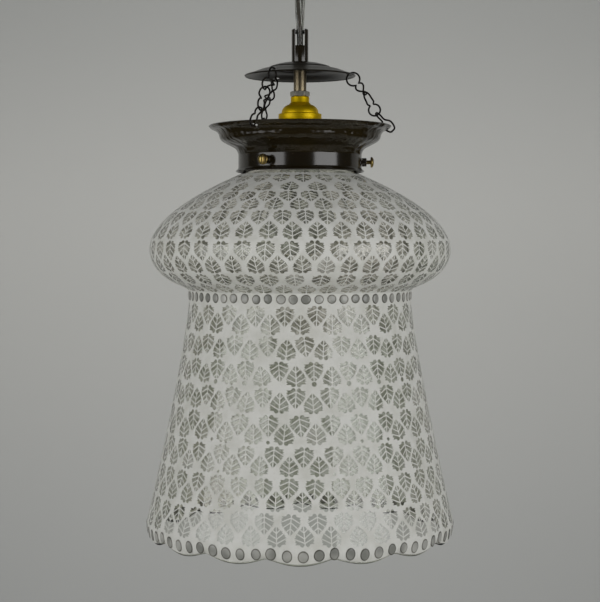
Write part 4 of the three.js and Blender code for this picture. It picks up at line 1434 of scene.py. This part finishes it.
bead_places = coat("white_coat_hem", (ring_band, 357.6, 370.4, 66, 1.0, 8.3, 9.8, 20))


# --------------------------------------
# Glass dots round the waist and glass beads along the hem: clear drops fused on the glass in
# the coat's round windows, where they bend what lies behind them.

def fused(at, dark, light, rough, clear):
    look = at.noise(46, 2.0).between(0.36, 0.64).look(dark, light, rough, 0.06)
    return look | {"IOR": 1.5, "Transmission_Weight": clear}


drop_glass = finish("fused_glass_drops", fused, (138, 139, 133), (192, 192, 186), 0.1, 0.35)
# Painted shade: the drops' outer ring is painted darker, standing in for the dark edge that a
# glass dome shows where it bends the view.
painted_dark_rim_glass = finish("fused_glass_painted_dark_rims", fused, (92, 91, 84), (134, 132, 124), 0.14, 0.3)


def drops(name, places, proud):
    """Low domes of glass at the places of a band's windows."""
    shape = bmesh.new()
    for turn, run, slip, wide, high in places:
        made = bmesh.ops.create_uvsphere(shape, u_segments=20, v_segments=10, radius=1)["verts"]
        ball = made + list({e for v in made for e in v.link_edges})
        ball += list({f for v in made for f in v.link_faces})
        cut = bmesh.ops.bisect_plane(
            shape, geom=ball, plane_co=(0, 0, 0), plane_no=(0, 0, -1), clear_outer=True
        )["geom_cut"]
        bmesh.ops.contextual_create(shape, geom=parts_of(cut, bmesh.types.BMEdge))
        verts = {v for v in made if v.is_valid} | set(parts_of(cut, bmesh.types.BMVert))
        middle_turn = turn + slip[0] / radius_at(run)
        middle_run = run - slip[1]
        foot = on_glass(middle_turn, middle_run, 0.15)
        out = (on_glass(middle_turn, middle_run, 1.15) - foot).normalized()
        down = on_glass(middle_turn, middle_run + 1, 0.15) - foot
        side = down.cross(out).normalized()
        up = out.cross(side)
        # The faces round each drop's foot take the painted dark rim.
        for face in {face for vert in verts for face in vert.link_faces}:
            if face.calc_center_median().z < 0.5:
                face.material_index = 1
        for vert in verts:
            x, y, z = vert.co
            place = side * x * (wide - 0.05) + up * y * (high - 0.05) + out * z * proud
            vert.co = foot + place * MM
    bmesh.ops.recalc_face_normals(shape, faces=shape.faces)
    made = piece(name, shape, drop_glass, "shade", "shade_glass", sharp=60)
    made.data.materials.append(painted_dark_rim_glass)


drops("glass_dots_waist", dot_places, 1.0)
drops("glass_beads_hem", bead_places, 0.5)
